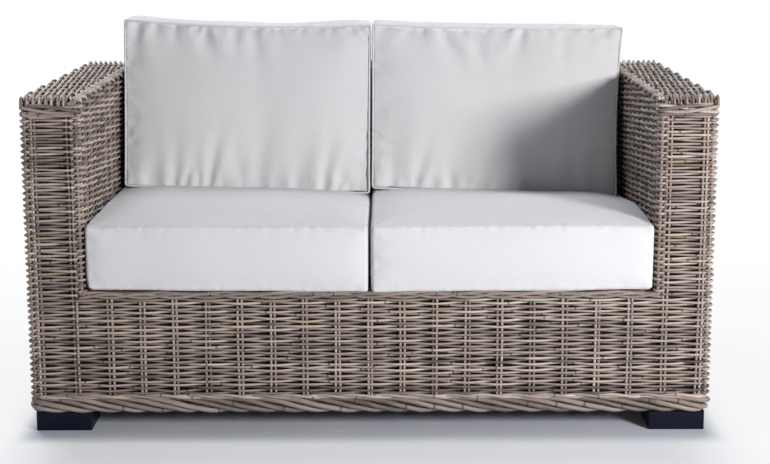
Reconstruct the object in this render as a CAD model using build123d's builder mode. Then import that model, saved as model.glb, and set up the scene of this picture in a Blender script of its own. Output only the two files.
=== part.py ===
from build123d import *
import os

os.makedirs("parts", exist_ok=True)

# A two-seat patio sofa of woven cane over a timber frame, in millimetres.
# X runs from the left arm to the right arm, Y from the front to the back, Z up.
# The origin is on the floor, under the middle of the whole sofa.

# Overall size
overall_width = 1500.0
overall_depth = 900.0
arm_height = 744.0
arm_thickness = 125.0
back_thickness = 125.0
deck_height = 318.0

# Woven skin
weave_thickness = 18.0
border_proud = 2.0
bottom_border_height = 35.0
bottom_border_round = 7.0
apron_border_height = 18.0
apron_border_round = 5.0
arm_front_border_height = 22.0
edge_braid_width = 30.0
edge_braid_overhang = 7.0
braid_round = 7.0
panel_corner_round = 8.0
rod_pair_spacing = 70.0
rod_pair_inset = 40.0
rod_pair_crest = 20.0
hollow_depth = 5.5
hollow_floor_share = 0.4
apron_end_pitches = 1.5

# Feet
foot_height = 42.0
foot_width = 123.0
foot_depth = 110.0
foot_front_setback = 10.0
foot_side_setback = 8.0
foot_chamfer = 2.0

# Timber frame
timber_thickness = 40.0
front_stile_inset = 110.0
rear_stile_inset = 190.0
back_stile_share = 1 / 3
seat_rail_height = 70.0
seat_rail_width = 40.0
slat_thickness = 18.0
slat_width = 70.0
slat_count = 7
corner_block_leg = 60.0
corner_block_height = 40.0
timber_round = 2.0

# Fasteners and joinery
hole_clearance = 0.15
foot_bolt_diameter = 8.0
foot_bolt_head_diameter = 16.0
foot_bolt_head_height = 6.0
foot_bolt_recess = 12.0
foot_bolt_grip = 28.0
foot_bolt_edge = 30.0
seat_bolt_diameter = 8.0
seat_bolt_head_diameter = 20.0
seat_bolt_head_height = 5.0
seat_bolt_grip = 36.0
frame_screw_diameter = 6.0
frame_screw_head_diameter = 12.0
frame_screw_head_height = 4.0
frame_screw_grip = 50.0
frame_screw_spacing = 44.0
slat_screw_diameter = 4.5
slat_screw_head_diameter = 9.0
slat_screw_head_height = 3.0
slat_screw_grip = 27.0
dowel_diameter = 10.0
dowel_length = 60.0
dowel_spacing = 20.0

# Seat cushions
cushion_clearance = 0.3
centre_gap = 6.0
seat_side_gap = 10.0
seat_cushion_height = 148.0
seat_front_setback = 6.0
seat_braid_gap = 2.5
seat_crown = 9.0
seat_end_crown = 3.0
seat_side_bulge = 4.0
seat_draw_in = 5.0
seat_edge_round = 20.0

# Back cushions
back_side_gap = 15.0
back_rear_gap = 10.0
back_cushion_base = 200.0
back_cushion_top = 160.0
back_cushion_rise = 390.0
back_cushion_lean = 108.0
back_cushion_top_drop = 42.0
back_front_crown = 22.0
back_end_crown = 8.0
back_rear_crown = 10.0
back_rear_end_crown = 4.0
back_top_crown = 6.0
back_draw_in = 4.0
back_edge_round = 24.0

# Cushion covers and fillings
cover_cloth = 2.0
filling_clearance = 0.3
end_round_share = 0.45
cutter_overrun = 10.0

# Places worked out from the sizes above
half_width = overall_width / 2
front_y = -overall_depth / 2
rear_y = overall_depth / 2
skin_x = half_width - border_proud
skin_front_y = front_y + border_proud
skin_rear_y = rear_y - border_proud
frame_x = skin_x - weave_thickness
frame_front_y = skin_front_y + weave_thickness
frame_rear_y = skin_rear_y - weave_thickness
well_x = half_width - arm_thickness
well_frame_x = well_x + weave_thickness
well_rear_y = rear_y - back_thickness
well_frame_y = well_rear_y + weave_thickness
frame_top = arm_height - weave_thickness
base_z = foot_height
base_top = base_z + timber_thickness
skin_bottom = base_z + bottom_border_height
top_rail_bottom = frame_top - timber_thickness
front_post_rear_y = frame_front_y + timber_thickness
rear_post_front_y = frame_rear_y - timber_thickness
arm_middle_x = (well_frame_x + frame_x) / 2
seat_rail_top = deck_height - slat_thickness
seat_rail_bottom = seat_rail_top - seat_rail_height
seat_rail_inner_x = well_x - seat_rail_width
seat_rail_front_inner_y = frame_front_y + seat_rail_width
seat_rail_rear_inner_y = well_rear_y - seat_rail_width
front_stile_y = front_post_rear_y + front_stile_inset
rear_stile_y = rear_post_front_y - rear_stile_inset
back_stile_x = well_frame_x * back_stile_share
braid_inner_x = well_x - edge_braid_overhang
braid_outer_x = braid_inner_x + edge_braid_width
braid_front_y = well_rear_y - edge_braid_overhang
braid_rear_y = braid_front_y + edge_braid_width
last_pair_y = skin_rear_y - rod_pair_inset
well_last_pair_y = well_rear_y - rod_pair_inset
apron_pair_span = 2 * well_x - apron_end_pitches * rod_pair_spacing
apron_top = deck_height - apron_border_height
front_border_bottom = frame_top - arm_front_border_height
seat_cushion_width = well_x - seat_side_gap - centre_gap / 2
back_cushion_width = well_x - back_side_gap - centre_gap / 2
back_cushion_front_y = well_rear_y - back_rear_gap - back_cushion_top - back_cushion_lean
seat_front_y = front_y + seat_front_setback
seat_rear_y = braid_front_y - seat_side_bulge - seat_braid_gap
seat_middle_y = (seat_front_y + seat_rear_y) / 2
seat_top = deck_height + cushion_clearance + seat_cushion_height
contact_share = (back_cushion_front_y + back_edge_round - seat_middle_y) / (seat_rear_y - seat_middle_y)
back_cushion_bottom = seat_top + seat_crown * (1 - contact_share**2) + cushion_clearance
side_names = {-1: "left", 1: "right"}
foot_rows = {-1: "front", 1: "rear"}


def save(part, label):
    """Names a finished piece and writes it as its own file."""
    part.label = label
    export_step(part, f"parts/{label}.step")


def side_span(side, inner_x, outer_x):
    """Gives the low and high X of a piece on the left (-1) or right (1) side."""
    return min(side * inner_x, side * outer_x), max(side * inner_x, side * outer_x)


def block(x_span, y_span, z_span, upright_round=0.0):
    """Makes a rectangular piece between two corners, with rounded upright edges where asked."""
    with BuildPart() as piece:
        with BuildSketch(Plane.XY.offset(z_span[0])):
            with Locations(((x_span[0] + x_span[1]) / 2, (y_span[0] + y_span[1]) / 2)):
                Rectangle(x_span[1] - x_span[0], y_span[1] - y_span[0])
        extrude(amount=z_span[1] - z_span[0])
        if upright_round:
            fillet(piece.edges().filter_by(Axis.Z), radius=upright_round)
    return piece.part


def rounded_bar(section_plane, width, height, length, corner_radius):
    """Makes a straight bar whose rounded section is drawn on a plane's centre."""
    with BuildPart() as bar:
        with BuildSketch(section_plane):
            RectangleRounded(width, height, corner_radius)
        extrude(amount=length)
    return bar.part


def bored(part, planes, diameter, depth):
    """Cuts a round blind hole into a piece from each plane, along the plane's normal."""
    with BuildPart() as drilled:
        add(part)
        for plane in planes:
            with BuildSketch(plane):
                Circle(diameter / 2 + hole_clearance)
            extrude(amount=depth + hole_clearance, mode=Mode.SUBTRACT)
    return drilled.part


def rod_waves(part, face, pair_span, height):
    """Sinks the cane between the pairs of rods that stand evenly over a span of a woven face."""
    count = round(pair_span / rod_pair_spacing)
    pitch = pair_span / count
    half_mouth = (pitch - rod_pair_crest) / 2
    half_floor = pitch * hollow_floor_share / 2
    with BuildPart() as skin:
        add(part)
        for number in range(count):
            middle = (number + 0.5) * pitch - pair_span / 2
            with BuildSketch(face):
                with BuildLine():
                    Polyline(
                        (middle - half_mouth, 0),
                        (middle - half_mouth, cutter_overrun),
                        (middle + half_mouth, cutter_overrun),
                        (middle + half_mouth, 0),
                        (middle + half_floor, -hollow_depth),
                        (middle - half_floor, -hollow_depth),
                        close=True,
                    )
                make_face()
            extrude(amount=height, mode=Mode.SUBTRACT)
    return skin.part


def headed_pins(planes, head_diameter, head_height, diameter, length):
    """Makes a group of bolts or screws: a flat head, then a shank along each plane's normal."""
    with BuildPart() as pins:
        for plane in planes:
            with BuildSketch(plane):
                Circle(head_diameter / 2)
            extrude(amount=head_height)
            with BuildSketch(plane):
                Circle(diameter / 2)
            extrude(amount=length)
    return pins.part


# Places of the fasteners, each as a plane at the head with its normal along the shank
foot_inner_y = rear_y - foot_front_setback - foot_depth
foot_bolt_ys = (foot_inner_y + foot_bolt_edge, frame_rear_y - timber_thickness / 2)
foot_bolt_length = foot_bolt_head_height + base_z - foot_bolt_recess + foot_bolt_grip
foot_bolt_planes = [
    Plane(origin=(side * arm_middle_x, row * y, foot_bolt_recess - foot_bolt_head_height))
    for side in side_names
    for row in foot_rows
    for y in foot_bolt_ys
]

seat_bolt_z = (seat_rail_bottom + seat_rail_top) / 2
seat_bolt_length = seat_bolt_head_height + seat_rail_width + weave_thickness + seat_bolt_grip
arm_bolt_planes = {
    side: [
        Plane(
            origin=(side * (seat_rail_inner_x - seat_bolt_head_height), y, seat_bolt_z),
            x_dir=(0, 1, 0),
            z_dir=(side, 0, 0),
        )
        for y in (front_stile_y, rear_stile_y)
    ]
    for side in side_names
}
back_bolt_planes = [
    Plane(
        origin=(side * back_stile_x, seat_rail_rear_inner_y - seat_bolt_head_height, seat_bolt_z),
        x_dir=(1, 0, 0),
        z_dir=(0, 1, 0),
    )
    for side in side_names
]

frame_screw_length = timber_thickness + frame_screw_grip
frame_screw_planes = {
    side: [
        Plane(
            origin=(side * arm_middle_x + offset, -row * frame_rear_y, z),
            x_dir=(1, 0, 0),
            z_dir=(0, row, 0),
        )
        for row in (1, -1)
        for z in (base_z + timber_thickness / 2, frame_top - timber_thickness / 2)
        for offset in (-frame_screw_spacing / 2, frame_screw_spacing / 2)
    ]
    for side in side_names
}

slat_pitch = (well_rear_y - frame_front_y) / slat_count
slat_places = [frame_front_y + slat_pitch * (index + 1 / 2) for index in range(slat_count)]
slat_screw_x = well_x - seat_rail_width / 2
slat_screw_length = slat_thickness + slat_screw_grip
slat_screw_planes = [
    Plane(origin=(x, y, deck_height), x_dir=(1, 0, 0), z_dir=(0, 0, -1))
    for x in (-slat_screw_x, 0, slat_screw_x)
    for y in slat_places
]

front_dowel_y = (frame_front_y + front_post_rear_y) / 2
base_middle_z = base_z + timber_thickness / 2
top_middle_z = frame_top - timber_thickness / 2
rear_dowel_y = (rear_post_front_y + frame_rear_y) / 2
side_dowel_y = (well_frame_y + rear_post_front_y) / 2
dowel_rows = [
    (front_dowel_y, base_middle_z),
    (side_dowel_y, base_middle_z),
    (rear_dowel_y, base_middle_z),
    (side_dowel_y, top_middle_z),
    (rear_dowel_y, top_middle_z),
]
dowel_planes = {
    side: [
        Plane(
            origin=(side * (well_frame_x - dowel_length / 2), y, z + offset),
            x_dir=(0, 1, 0),
            z_dir=(side, 0, 0),
        )
        for y, z in dowel_rows
        for offset in (-dowel_spacing / 2, dowel_spacing / 2)
    ]
    for side in side_names
}


def screwed_timber(part, side):
    """Drills an arm timber for its end screws and for the dowels of the rails that meet it."""
    part = bored(part, frame_screw_planes[side], frame_screw_diameter, frame_screw_length)
    heads = frame_screw_planes[side]
    part = bored(part, heads, frame_screw_head_diameter, frame_screw_head_height)
    return bored(part, dowel_planes[side], dowel_diameter, dowel_length)


def doweled_rail(part):
    """Drills a cross rail for the dowels at both of its ends."""
    for side in side_names:
        part = bored(part, dowel_planes[side], dowel_diameter, dowel_length)
    return part


# Feet: black blocks set back under the corners, each with two recessed bolt holes
for side, side_name in side_names.items():
    for row, row_name in foot_rows.items():
        foot_x = side_span(side, half_width - foot_side_setback - foot_width, half_width - foot_side_setback)
        foot_y = side_span(row, foot_inner_y, rear_y - foot_front_setback)
        foot_bolts_here = [
            plane
            for plane in foot_bolt_planes
            if plane.origin.X * side > 0 and plane.origin.Y * row > 0
        ]
        with BuildPart() as foot:
            add(block(foot_x, foot_y, (0, foot_height)))
            chamfer(foot.edges().group_by(Axis.Z)[0], length=foot_chamfer)
            chamfer(foot.edges().filter_by(Axis.Z), length=foot_chamfer)
            for plane in foot_bolts_here:
                with BuildSketch(Plane(origin=(plane.origin.X, plane.origin.Y, 0))):
                    Circle(foot_bolt_head_diameter / 2 + hole_clearance)
                extrude(amount=foot_bolt_recess, mode=Mode.SUBTRACT)
                with BuildSketch(Plane(origin=(plane.origin.X, plane.origin.Y, 0))):
                    Circle(foot_bolt_diameter / 2 + hole_clearance)
                extrude(amount=foot_height, mode=Mode.SUBTRACT)
        save(foot.part, f"{side_name}_{row_name}_foot")

foot_bolts = headed_pins(
    foot_bolt_planes,
    foot_bolt_head_diameter,
    foot_bolt_head_height,
    foot_bolt_diameter,
    foot_bolt_length,
)
save(foot_bolts, "foot_bolts")

# Timber frame of the arms: two posts, a base rail, a top rail and two stiles on each side
for side, side_name in side_names.items():
    arm_x = side_span(side, well_frame_x, frame_x)

    post_places = {
        "front": (frame_front_y, front_post_rear_y),
        "rear": (rear_post_front_y, frame_rear_y),
    }
    for row_name, post_y in post_places.items():
        post = block(arm_x, post_y, (base_z, frame_top), timber_round)
        post = bored(post, foot_bolt_planes, foot_bolt_diameter, foot_bolt_length)
        save(screwed_timber(post, side), f"{side_name}_{row_name}_post")

    base_rail = block(arm_x, (front_post_rear_y, rear_post_front_y), (base_z, base_top))
    base_rail = screwed_timber(base_rail, side)
    base_rail = bored(base_rail, foot_bolt_planes, foot_bolt_diameter, foot_bolt_length)
    save(base_rail, f"{side_name}_base_rail")

    top_rail = block(arm_x, (front_post_rear_y, rear_post_front_y), (top_rail_bottom, frame_top))
    save(screwed_timber(top_rail, side), f"{side_name}_arm_top_rail")

    with BuildPart() as stiles:
        for stile_y in (front_stile_y, rear_stile_y):
            stile_span = (stile_y - timber_thickness / 2, stile_y + timber_thickness / 2)
            add(block(arm_x, stile_span, (base_top, top_rail_bottom), timber_round))
    stiles_part = bored(stiles.part, arm_bolt_planes[side], seat_bolt_diameter, seat_bolt_length)
    save(stiles_part, f"{side_name}_arm_stiles")

# Cross timbers between the arms, low at the front, low and high at the back
front_base_rail = block(
    (-well_frame_x, well_frame_x), (frame_front_y, front_post_rear_y), (base_z, base_top)
)
save(doweled_rail(front_base_rail), "front_base_rail")

rear_base_rail = block((-well_frame_x, well_frame_x), (well_frame_y, frame_rear_y), (base_z, base_top))
save(doweled_rail(rear_base_rail), "rear_base_rail")

back_top_rail = block(
    (-well_frame_x, well_frame_x), (well_frame_y, frame_rear_y), (top_rail_bottom, frame_top)
)
save(doweled_rail(back_top_rail), "back_top_rail")

with BuildPart() as back_stiles:
    for side in side_names:
        stile_x = (side * back_stile_x - timber_thickness / 2, side * back_stile_x + timber_thickness / 2)
        add(block(stile_x, (well_frame_y, frame_rear_y), (base_top, top_rail_bottom), timber_round))
save(bored(back_stiles.part, back_bolt_planes, seat_bolt_diameter, seat_bolt_length), "back_stiles")

frame_screws = headed_pins(
    frame_screw_planes[-1] + frame_screw_planes[1],
    frame_screw_head_diameter,
    frame_screw_head_height,
    frame_screw_diameter,
    frame_screw_length,
)
save(frame_screws, "frame_screws")

with BuildPart() as frame_dowels:
    for side in side_names:
        for plane in dowel_planes[side]:
            with BuildSketch(plane):
                Circle(dowel_diameter / 2)
            extrude(amount=dowel_length)
save(frame_dowels.part, "frame_dowels")

# Seat frame: four rails and a middle rail under the slats, bolted through the weave
seat_z = (seat_rail_bottom, seat_rail_top)
front_seat_rail = block(
    (-well_x, well_x), (frame_front_y, seat_rail_front_inner_y), seat_z
)
save(front_seat_rail, "front_seat_rail")

rear_seat_rail = block((-well_x, well_x), (seat_rail_rear_inner_y, well_rear_y), seat_z)
save(bored(rear_seat_rail, back_bolt_planes, seat_bolt_diameter, seat_bolt_length), "rear_seat_rail")

for side, side_name in side_names.items():
    side_rail = block(
        side_span(side, seat_rail_inner_x, well_x),
        (seat_rail_front_inner_y, seat_rail_rear_inner_y),
        seat_z,
    )
    side_rail = bored(side_rail, arm_bolt_planes[side], seat_bolt_diameter, seat_bolt_length)
    side_rail = bored(side_rail, slat_screw_planes, slat_screw_diameter, slat_screw_length)
    save(side_rail, f"{side_name}_seat_rail")

centre_seat_rail = block(
    (-seat_rail_width / 2, seat_rail_width / 2),
    (seat_rail_front_inner_y, seat_rail_rear_inner_y),
    seat_z,
)
centre_seat_rail = bored(centre_seat_rail, slat_screw_planes, slat_screw_diameter, slat_screw_length)
save(centre_seat_rail, "centre_seat_rail")

with BuildPart() as corner_blocks:
    block_bottom = seat_bolt_z - corner_block_height / 2
    with BuildSketch(Plane.XY.offset(block_bottom)):
        for side in side_names:
            for row, corner_y in ((1, seat_rail_front_inner_y), (-1, seat_rail_rear_inner_y)):
                with BuildLine():
                    Polyline(
                        (side * seat_rail_inner_x, corner_y),
                        (side * (seat_rail_inner_x - corner_block_leg), corner_y),
                        (side * seat_rail_inner_x, corner_y + row * corner_block_leg),
                        close=True,
                    )
                make_face()
    extrude(amount=corner_block_height)
save(corner_blocks.part, "seat_corner_blocks")

with BuildPart() as seat_slats:
    for slat_y in slat_places:
        slat_span = (slat_y - slat_width / 2, slat_y + slat_width / 2)
        add(block((-well_x, well_x), slat_span, (seat_rail_top, deck_height), timber_round))
slats_part = bored(seat_slats.part, slat_screw_planes, slat_screw_diameter, slat_screw_length)
slats_part = bored(slats_part, slat_screw_planes, slat_screw_head_diameter, slat_screw_head_height)
save(slats_part, "seat_slats")

seat_bolts = headed_pins(
    arm_bolt_planes[-1] + arm_bolt_planes[1] + back_bolt_planes,
    seat_bolt_head_diameter,
    seat_bolt_head_height,
    seat_bolt_diameter,
    seat_bolt_length,
)
save(seat_bolts, "seat_bolts")

slat_screws = headed_pins(
    slat_screw_planes,
    slat_screw_head_diameter,
    slat_screw_head_height,
    slat_screw_diameter,
    slat_screw_length,
)
save(slat_screws, "slat_screws")

# Woven skins of the arms, sunk between the pairs of rods that stand in the weave
for side, side_name in side_names.items():
    with BuildPart() as outer_panel:
        add(
            block(
                side_span(side, frame_x, skin_x),
                (skin_front_y, skin_rear_y),
                (skin_bottom, frame_top),
            )
        )
        outer_corners = outer_panel.edges().filter_by(Axis.Z).sort_by(Axis.X)
        fillet(outer_corners[:2] if side < 0 else outer_corners[-2:], radius=panel_corner_round)
    outer_face = Plane(origin=(side * skin_x, 0, skin_bottom), x_dir=(0, -side, 0), z_dir=(0, 0, 1))
    outer_panel = rod_waves(outer_panel.part, outer_face, 2 * last_pair_y, frame_top - skin_bottom)
    save(outer_panel, f"{side_name}_arm_outer_panel")

    inner_panel = block(
        side_span(side, well_x, well_frame_x),
        (frame_front_y, well_frame_y),
        (seat_rail_bottom, frame_top),
    )
    inner_panel = bored(inner_panel, arm_bolt_planes[side], seat_bolt_diameter, seat_bolt_length)
    inner_face = Plane(
        origin=(side * well_x, (well_last_pair_y - last_pair_y) / 2, deck_height),
        x_dir=(0, side, 0),
        z_dir=(0, 0, 1),
    )
    inner_panel = rod_waves(inner_panel, inner_face, well_last_pair_y + last_pair_y, frame_top - deck_height)
    save(inner_panel, f"{side_name}_arm_inner_panel")

    with BuildPart() as front_panel:
        add(
            block(
                side_span(side, well_x, frame_x),
                (skin_front_y, frame_front_y),
                (skin_bottom, front_border_bottom),
            )
        )
    front_face = Plane(
        origin=(side * (well_x + skin_x) / 2, skin_front_y, skin_bottom),
        x_dir=(-1, 0, 0),
        z_dir=(0, 0, 1),
    )
    front_panel = rod_waves(front_panel.part, front_face, rod_pair_spacing, front_border_bottom - skin_bottom)
    save(front_panel, f"{side_name}_arm_front_panel")

    with BuildPart() as top_panel:
        add(
            block(
                side_span(side, braid_outer_x, skin_x),
                (skin_front_y, skin_rear_y),
                (frame_top, arm_height),
            )
        )
        top_edges = top_panel.edges().group_by(Axis.Z)[-1].filter_by(Axis.Y).sort_by(Axis.X)
        fillet(top_edges[:1] if side < 0 else top_edges[-1:], radius=panel_corner_round)
    save(top_panel.part, f"{side_name}_arm_top_panel")

# Woven skins of the back and the apron
back_outer_panel = block((-frame_x, frame_x), (frame_rear_y, skin_rear_y), (skin_bottom, frame_top))
rear_face = Plane(origin=(0, skin_rear_y, skin_bottom), x_dir=(1, 0, 0), z_dir=(0, 0, 1))
rear_pair_span = 2 * (skin_x - rod_pair_inset)
back_outer_panel = rod_waves(back_outer_panel, rear_face, rear_pair_span, frame_top - skin_bottom)
save(back_outer_panel, "back_outer_panel")

back_inner_panel = block((-well_x, well_x), (well_rear_y, well_frame_y), (seat_rail_bottom, frame_top))
back_inner_panel = bored(back_inner_panel, back_bolt_planes, seat_bolt_diameter, seat_bolt_length)
well_face = Plane(origin=(0, well_rear_y, deck_height), x_dir=(-1, 0, 0), z_dir=(0, 0, 1))
well_pair_span = 2 * (well_x - rod_pair_inset)
back_inner_panel = rod_waves(back_inner_panel, well_face, well_pair_span, frame_top - deck_height)
save(back_inner_panel, "back_inner_panel")

back_top_panel = block((-braid_outer_x, braid_outer_x), (braid_rear_y, skin_rear_y), (frame_top, arm_height))
save(back_top_panel, "back_top_panel")

apron_panel = block((-well_x, well_x), (skin_front_y, frame_front_y), (skin_bottom, apron_top))
apron_face = Plane(origin=(0, skin_front_y, skin_bottom), x_dir=(-1, 0, 0), z_dir=(0, 0, 1))
apron_panel = rod_waves(apron_panel, apron_face, apron_pair_span, apron_top - skin_bottom)
save(apron_panel, "apron_panel")

# Rolled border round the bottom edge, in four runs
border_depth = border_proud + weave_thickness
border_middle_z = base_z + bottom_border_height / 2
for row, row_name in foot_rows.items():
    run_plane = Plane(
        origin=(-half_width, row * (rear_y - border_depth / 2), border_middle_z),
        x_dir=(0, 1, 0),
        z_dir=(1, 0, 0),
    )
    run = rounded_bar(run_plane, border_depth, bottom_border_height, overall_width, bottom_border_round)
    save(run, f"{row_name}_bottom_border")
for side, side_name in side_names.items():
    run_plane = Plane(
        origin=(side * (half_width - border_depth / 2), frame_front_y, border_middle_z),
        x_dir=(1, 0, 0),
        z_dir=(0, 1, 0),
    )
    run_length = frame_rear_y - frame_front_y
    run = rounded_bar(run_plane, border_depth, bottom_border_height, run_length, bottom_border_round)
    save(run, f"{side_name}_bottom_border")

# Closing strands along the top of the apron and across the arm fronts
apron_border_plane = Plane(
    origin=(-well_x, (front_y + frame_front_y) / 2, (apron_top + deck_height) / 2),
    x_dir=(0, 1, 0),
    z_dir=(1, 0, 0),
)
apron_border = rounded_bar(
    apron_border_plane, border_depth, apron_border_height, 2 * well_x, apron_border_round
)
save(apron_border, "apron_top_border")

for side, side_name in side_names.items():
    front_border_x = side_span(side, well_x, frame_x)
    front_border_plane = Plane(
        origin=(
            front_border_x[0],
            (front_y + frame_front_y) / 2,
            (front_border_bottom + frame_top) / 2,
        ),
        x_dir=(0, 1, 0),
        z_dir=(1, 0, 0),
    )
    front_border = rounded_bar(
        front_border_plane,
        border_depth,
        arm_front_border_height,
        front_border_x[1] - front_border_x[0],
        apron_border_round,
    )
    save(front_border, f"{side_name}_arm_front_border")

# Plaited edges along the inner top edges of the arms and the back
braid_height = border_proud + weave_thickness
for side, side_name in side_names.items():
    braid_plane = Plane(
        origin=(
            side * (braid_inner_x + braid_outer_x) / 2,
            skin_front_y,
            frame_top + braid_height / 2,
        ),
        x_dir=(1, 0, 0),
        z_dir=(0, 1, 0),
    )
    braid = rounded_bar(
        braid_plane, edge_braid_width, braid_height, braid_front_y - skin_front_y, braid_round
    )
    save(braid, f"{side_name}_arm_edge_braid")

back_braid_plane = Plane(
    origin=(-braid_outer_x, (braid_front_y + braid_rear_y) / 2, frame_top + braid_height / 2),
    x_dir=(0, 1, 0),
    z_dir=(1, 0, 0),
)
back_braid = rounded_bar(back_braid_plane, edge_braid_width, braid_height, 2 * braid_outer_x, braid_round)
save(back_braid, "back_edge_braid")


def cushion_form(middle_x, width, sections, corner_radius, draw_plane, draw_in, draw_span):
    """Makes a crowned cushion: side sections lofted along X, then its ends drawn in.

    Each section is (share of the half width, corners, bulges): four corners as (y, z), and how far
    each of the four sides bows out between its corners.
    """
    with BuildPart() as form:
        for x_share, corners, bulges in sections:
            with BuildSketch(Plane.YZ.offset(middle_x + x_share * width / 2)):
                with BuildLine() as outline:
                    for index, bulge in enumerate(bulges):
                        start = Vector(*corners[index])
                        end = Vector(*corners[(index + 1) % len(corners)])
                        outward = (end - start).normalized().rotate(Axis.Z, 90)
                        if bulge:
                            ThreePointArc(start, (start + end) / 2 + outward * bulge, end)
                        else:
                            Line(start, end)
                make_face()
                fillet(outline.vertices(), radius=corner_radius)
        loft()
        for end in (-1, 1):
            with BuildSketch(draw_plane):
                with BuildLine():
                    low, high = draw_span
                    edge_x = middle_x + end * width / 2
                    ThreePointArc((edge_x, low), (edge_x - end * draw_in, (low + high) / 2), (edge_x, high))
                    Polyline(
                        (edge_x, high),
                        (edge_x + end * cutter_overrun, high),
                        (edge_x + end * cutter_overrun, low),
                        (edge_x, low),
                    )
                make_face()
            extrude(amount=overall_width, both=True, mode=Mode.SUBTRACT)
        end_faces = form.faces().sort_by(Axis.X)
        fillet(end_faces[0].edges() + end_faces[-1].edges(), radius=corner_radius * end_round_share)
    return form.part


def seat_form(middle_x, inset):
    """Makes a seat cushion's outer form, or the form that lies the given inset inside it."""
    front = seat_front_y + inset
    rear = seat_rear_y - inset
    bottom = deck_height + cushion_clearance + inset
    top = seat_top - inset
    draw = seat_draw_in

    def section(x_share, drawn, crown):
        corners = [
            (front + drawn, bottom),
            (front + drawn, top),
            (rear - drawn, top),
            (rear - drawn, bottom),
        ]
        return x_share, corners, (seat_side_bulge, crown, seat_side_bulge, 0)

    sections = [section(-1, 0, seat_end_crown), section(0, draw, seat_crown), section(1, 0, seat_end_crown)]
    return cushion_form(
        middle_x,
        seat_cushion_width - 2 * inset,
        sections,
        seat_edge_round,
        Plane.XY,
        draw,
        (front - cutter_overrun, rear + cutter_overrun),
    )


def back_form(middle_x, inset):
    """Makes a leaning back cushion's outer form, or the form that lies the inset inside it."""
    base = back_cushion_bottom + inset
    front = back_cushion_front_y + inset
    rise = back_cushion_rise - 2 * inset
    depth = back_cushion_base - 2 * inset
    head = back_cushion_top - 2 * inset
    drop = back_cushion_top_drop

    def section(x_share, front_crown, rear_crown):
        corners = [
            (front, base),
            (front + back_cushion_lean, base + rise),
            (front + back_cushion_lean + head, base + rise - drop),
            (front + depth, base),
        ]
        return x_share, corners, (front_crown, back_top_crown, rear_crown, 0)

    sections = [
        section(-1, back_end_crown, back_rear_end_crown),
        section(0, back_front_crown, back_rear_crown),
        section(1, back_end_crown, back_rear_end_crown),
    ]
    return cushion_form(
        middle_x,
        back_cushion_width - 2 * inset,
        sections,
        back_edge_round,
        Plane.XZ,
        back_draw_in,
        (base - cutter_overrun, base + rise + cutter_overrun),
    )


# Cushions: each is a sewn cloth cover, closed round its filling
for side, side_name in side_names.items():
    seat_middle_x = side * (centre_gap + seat_cushion_width) / 2
    with BuildPart() as seat_cover:
        add(seat_form(seat_middle_x, 0))
        add(seat_form(seat_middle_x, cover_cloth), mode=Mode.SUBTRACT)
    save(seat_cover.part, f"{side_name}_seat_cushion_cover")
    save(seat_form(seat_middle_x, cover_cloth + filling_clearance), f"{side_name}_seat_cushion_foam")

    back_middle_x = side * (centre_gap + back_cushion_width) / 2
    with BuildPart() as back_cover:
        add(back_form(back_middle_x, 0))
        add(back_form(back_middle_x, cover_cloth), mode=Mode.SUBTRACT)
    save(back_cover.part, f"{side_name}_back_cushion_cover")
    save(back_form(back_middle_x, cover_cloth + filling_clearance), f"{side_name}_back_cushion_filling")
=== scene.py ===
"""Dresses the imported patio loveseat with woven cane, canvas cushions, finishes and a pale studio."""
import math

import bpy
import numpy as np
from mathutils import Matrix, Vector


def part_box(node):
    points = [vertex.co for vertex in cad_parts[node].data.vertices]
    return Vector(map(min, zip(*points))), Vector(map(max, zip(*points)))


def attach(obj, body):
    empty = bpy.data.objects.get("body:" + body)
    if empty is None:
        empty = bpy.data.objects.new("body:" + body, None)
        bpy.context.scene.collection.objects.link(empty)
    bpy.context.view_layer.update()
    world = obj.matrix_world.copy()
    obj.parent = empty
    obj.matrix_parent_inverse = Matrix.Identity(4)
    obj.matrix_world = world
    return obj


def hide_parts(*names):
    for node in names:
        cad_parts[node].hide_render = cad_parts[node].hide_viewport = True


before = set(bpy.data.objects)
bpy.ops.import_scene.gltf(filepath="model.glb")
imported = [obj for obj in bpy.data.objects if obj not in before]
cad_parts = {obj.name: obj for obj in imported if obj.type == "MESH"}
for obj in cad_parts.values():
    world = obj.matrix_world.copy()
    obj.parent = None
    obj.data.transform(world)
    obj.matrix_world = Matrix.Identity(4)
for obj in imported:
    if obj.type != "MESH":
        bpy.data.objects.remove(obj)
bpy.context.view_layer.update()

bl_info = {
    "name": "Patio Loveseat Dressing",
    "version": (1, 0, 0),
    "blender": (4, 5, 0),
    "location": "View3D > Sidebar > Loveseat",
    "description": "Builds the woven cane, the canvas cushions and the studio round the loveseat's frame",
    "category": "Object",
}

MM = 0.001
SIDES = (("left", -1.0), ("right", 1.0))


def low(node):
    """The lowest corner of a node of the frame."""
    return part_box(node)[0]


def high(node):
    """The highest corner of a node of the frame."""
    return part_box(node)[1]


def middle_plane(node, axis):
    """Where a woven skin's plane lies, halfway through its thickness."""
    return (getattr(low(node), axis) + getattr(high(node), axis)) / 2


# The cane of the arms' outer and inner sides stands a little fuller than the panels' middle.
SIDE_PLANE = middle_plane("right_arm_outer_panel", "x") + 5.5 * MM
FRONT_PLANE = middle_plane("apron_panel", "y")
REAR_PLANE = middle_plane("back_outer_panel", "y")
WELL_PLANE = middle_plane("right_arm_inner_panel", "x") - 5 * MM
WELL_REAR = middle_plane("back_inner_panel", "y")
TOP_PLANE = middle_plane("right_arm_top_panel", "z")
SKIN_BOTTOM = low("apron_panel").z
APRON_TOP = high("apron_panel").z
WELL_BOTTOM = low("back_inner_panel").z
SKIN_TOP = high("back_outer_panel").z
ARM_FRONT_TOP = high("right_arm_front_panel").z
CLEAR_BELOW = 8 * MM  # How far the rods reach below the skins, into the bottom border.
FULL_TURN = 2 * math.pi


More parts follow.
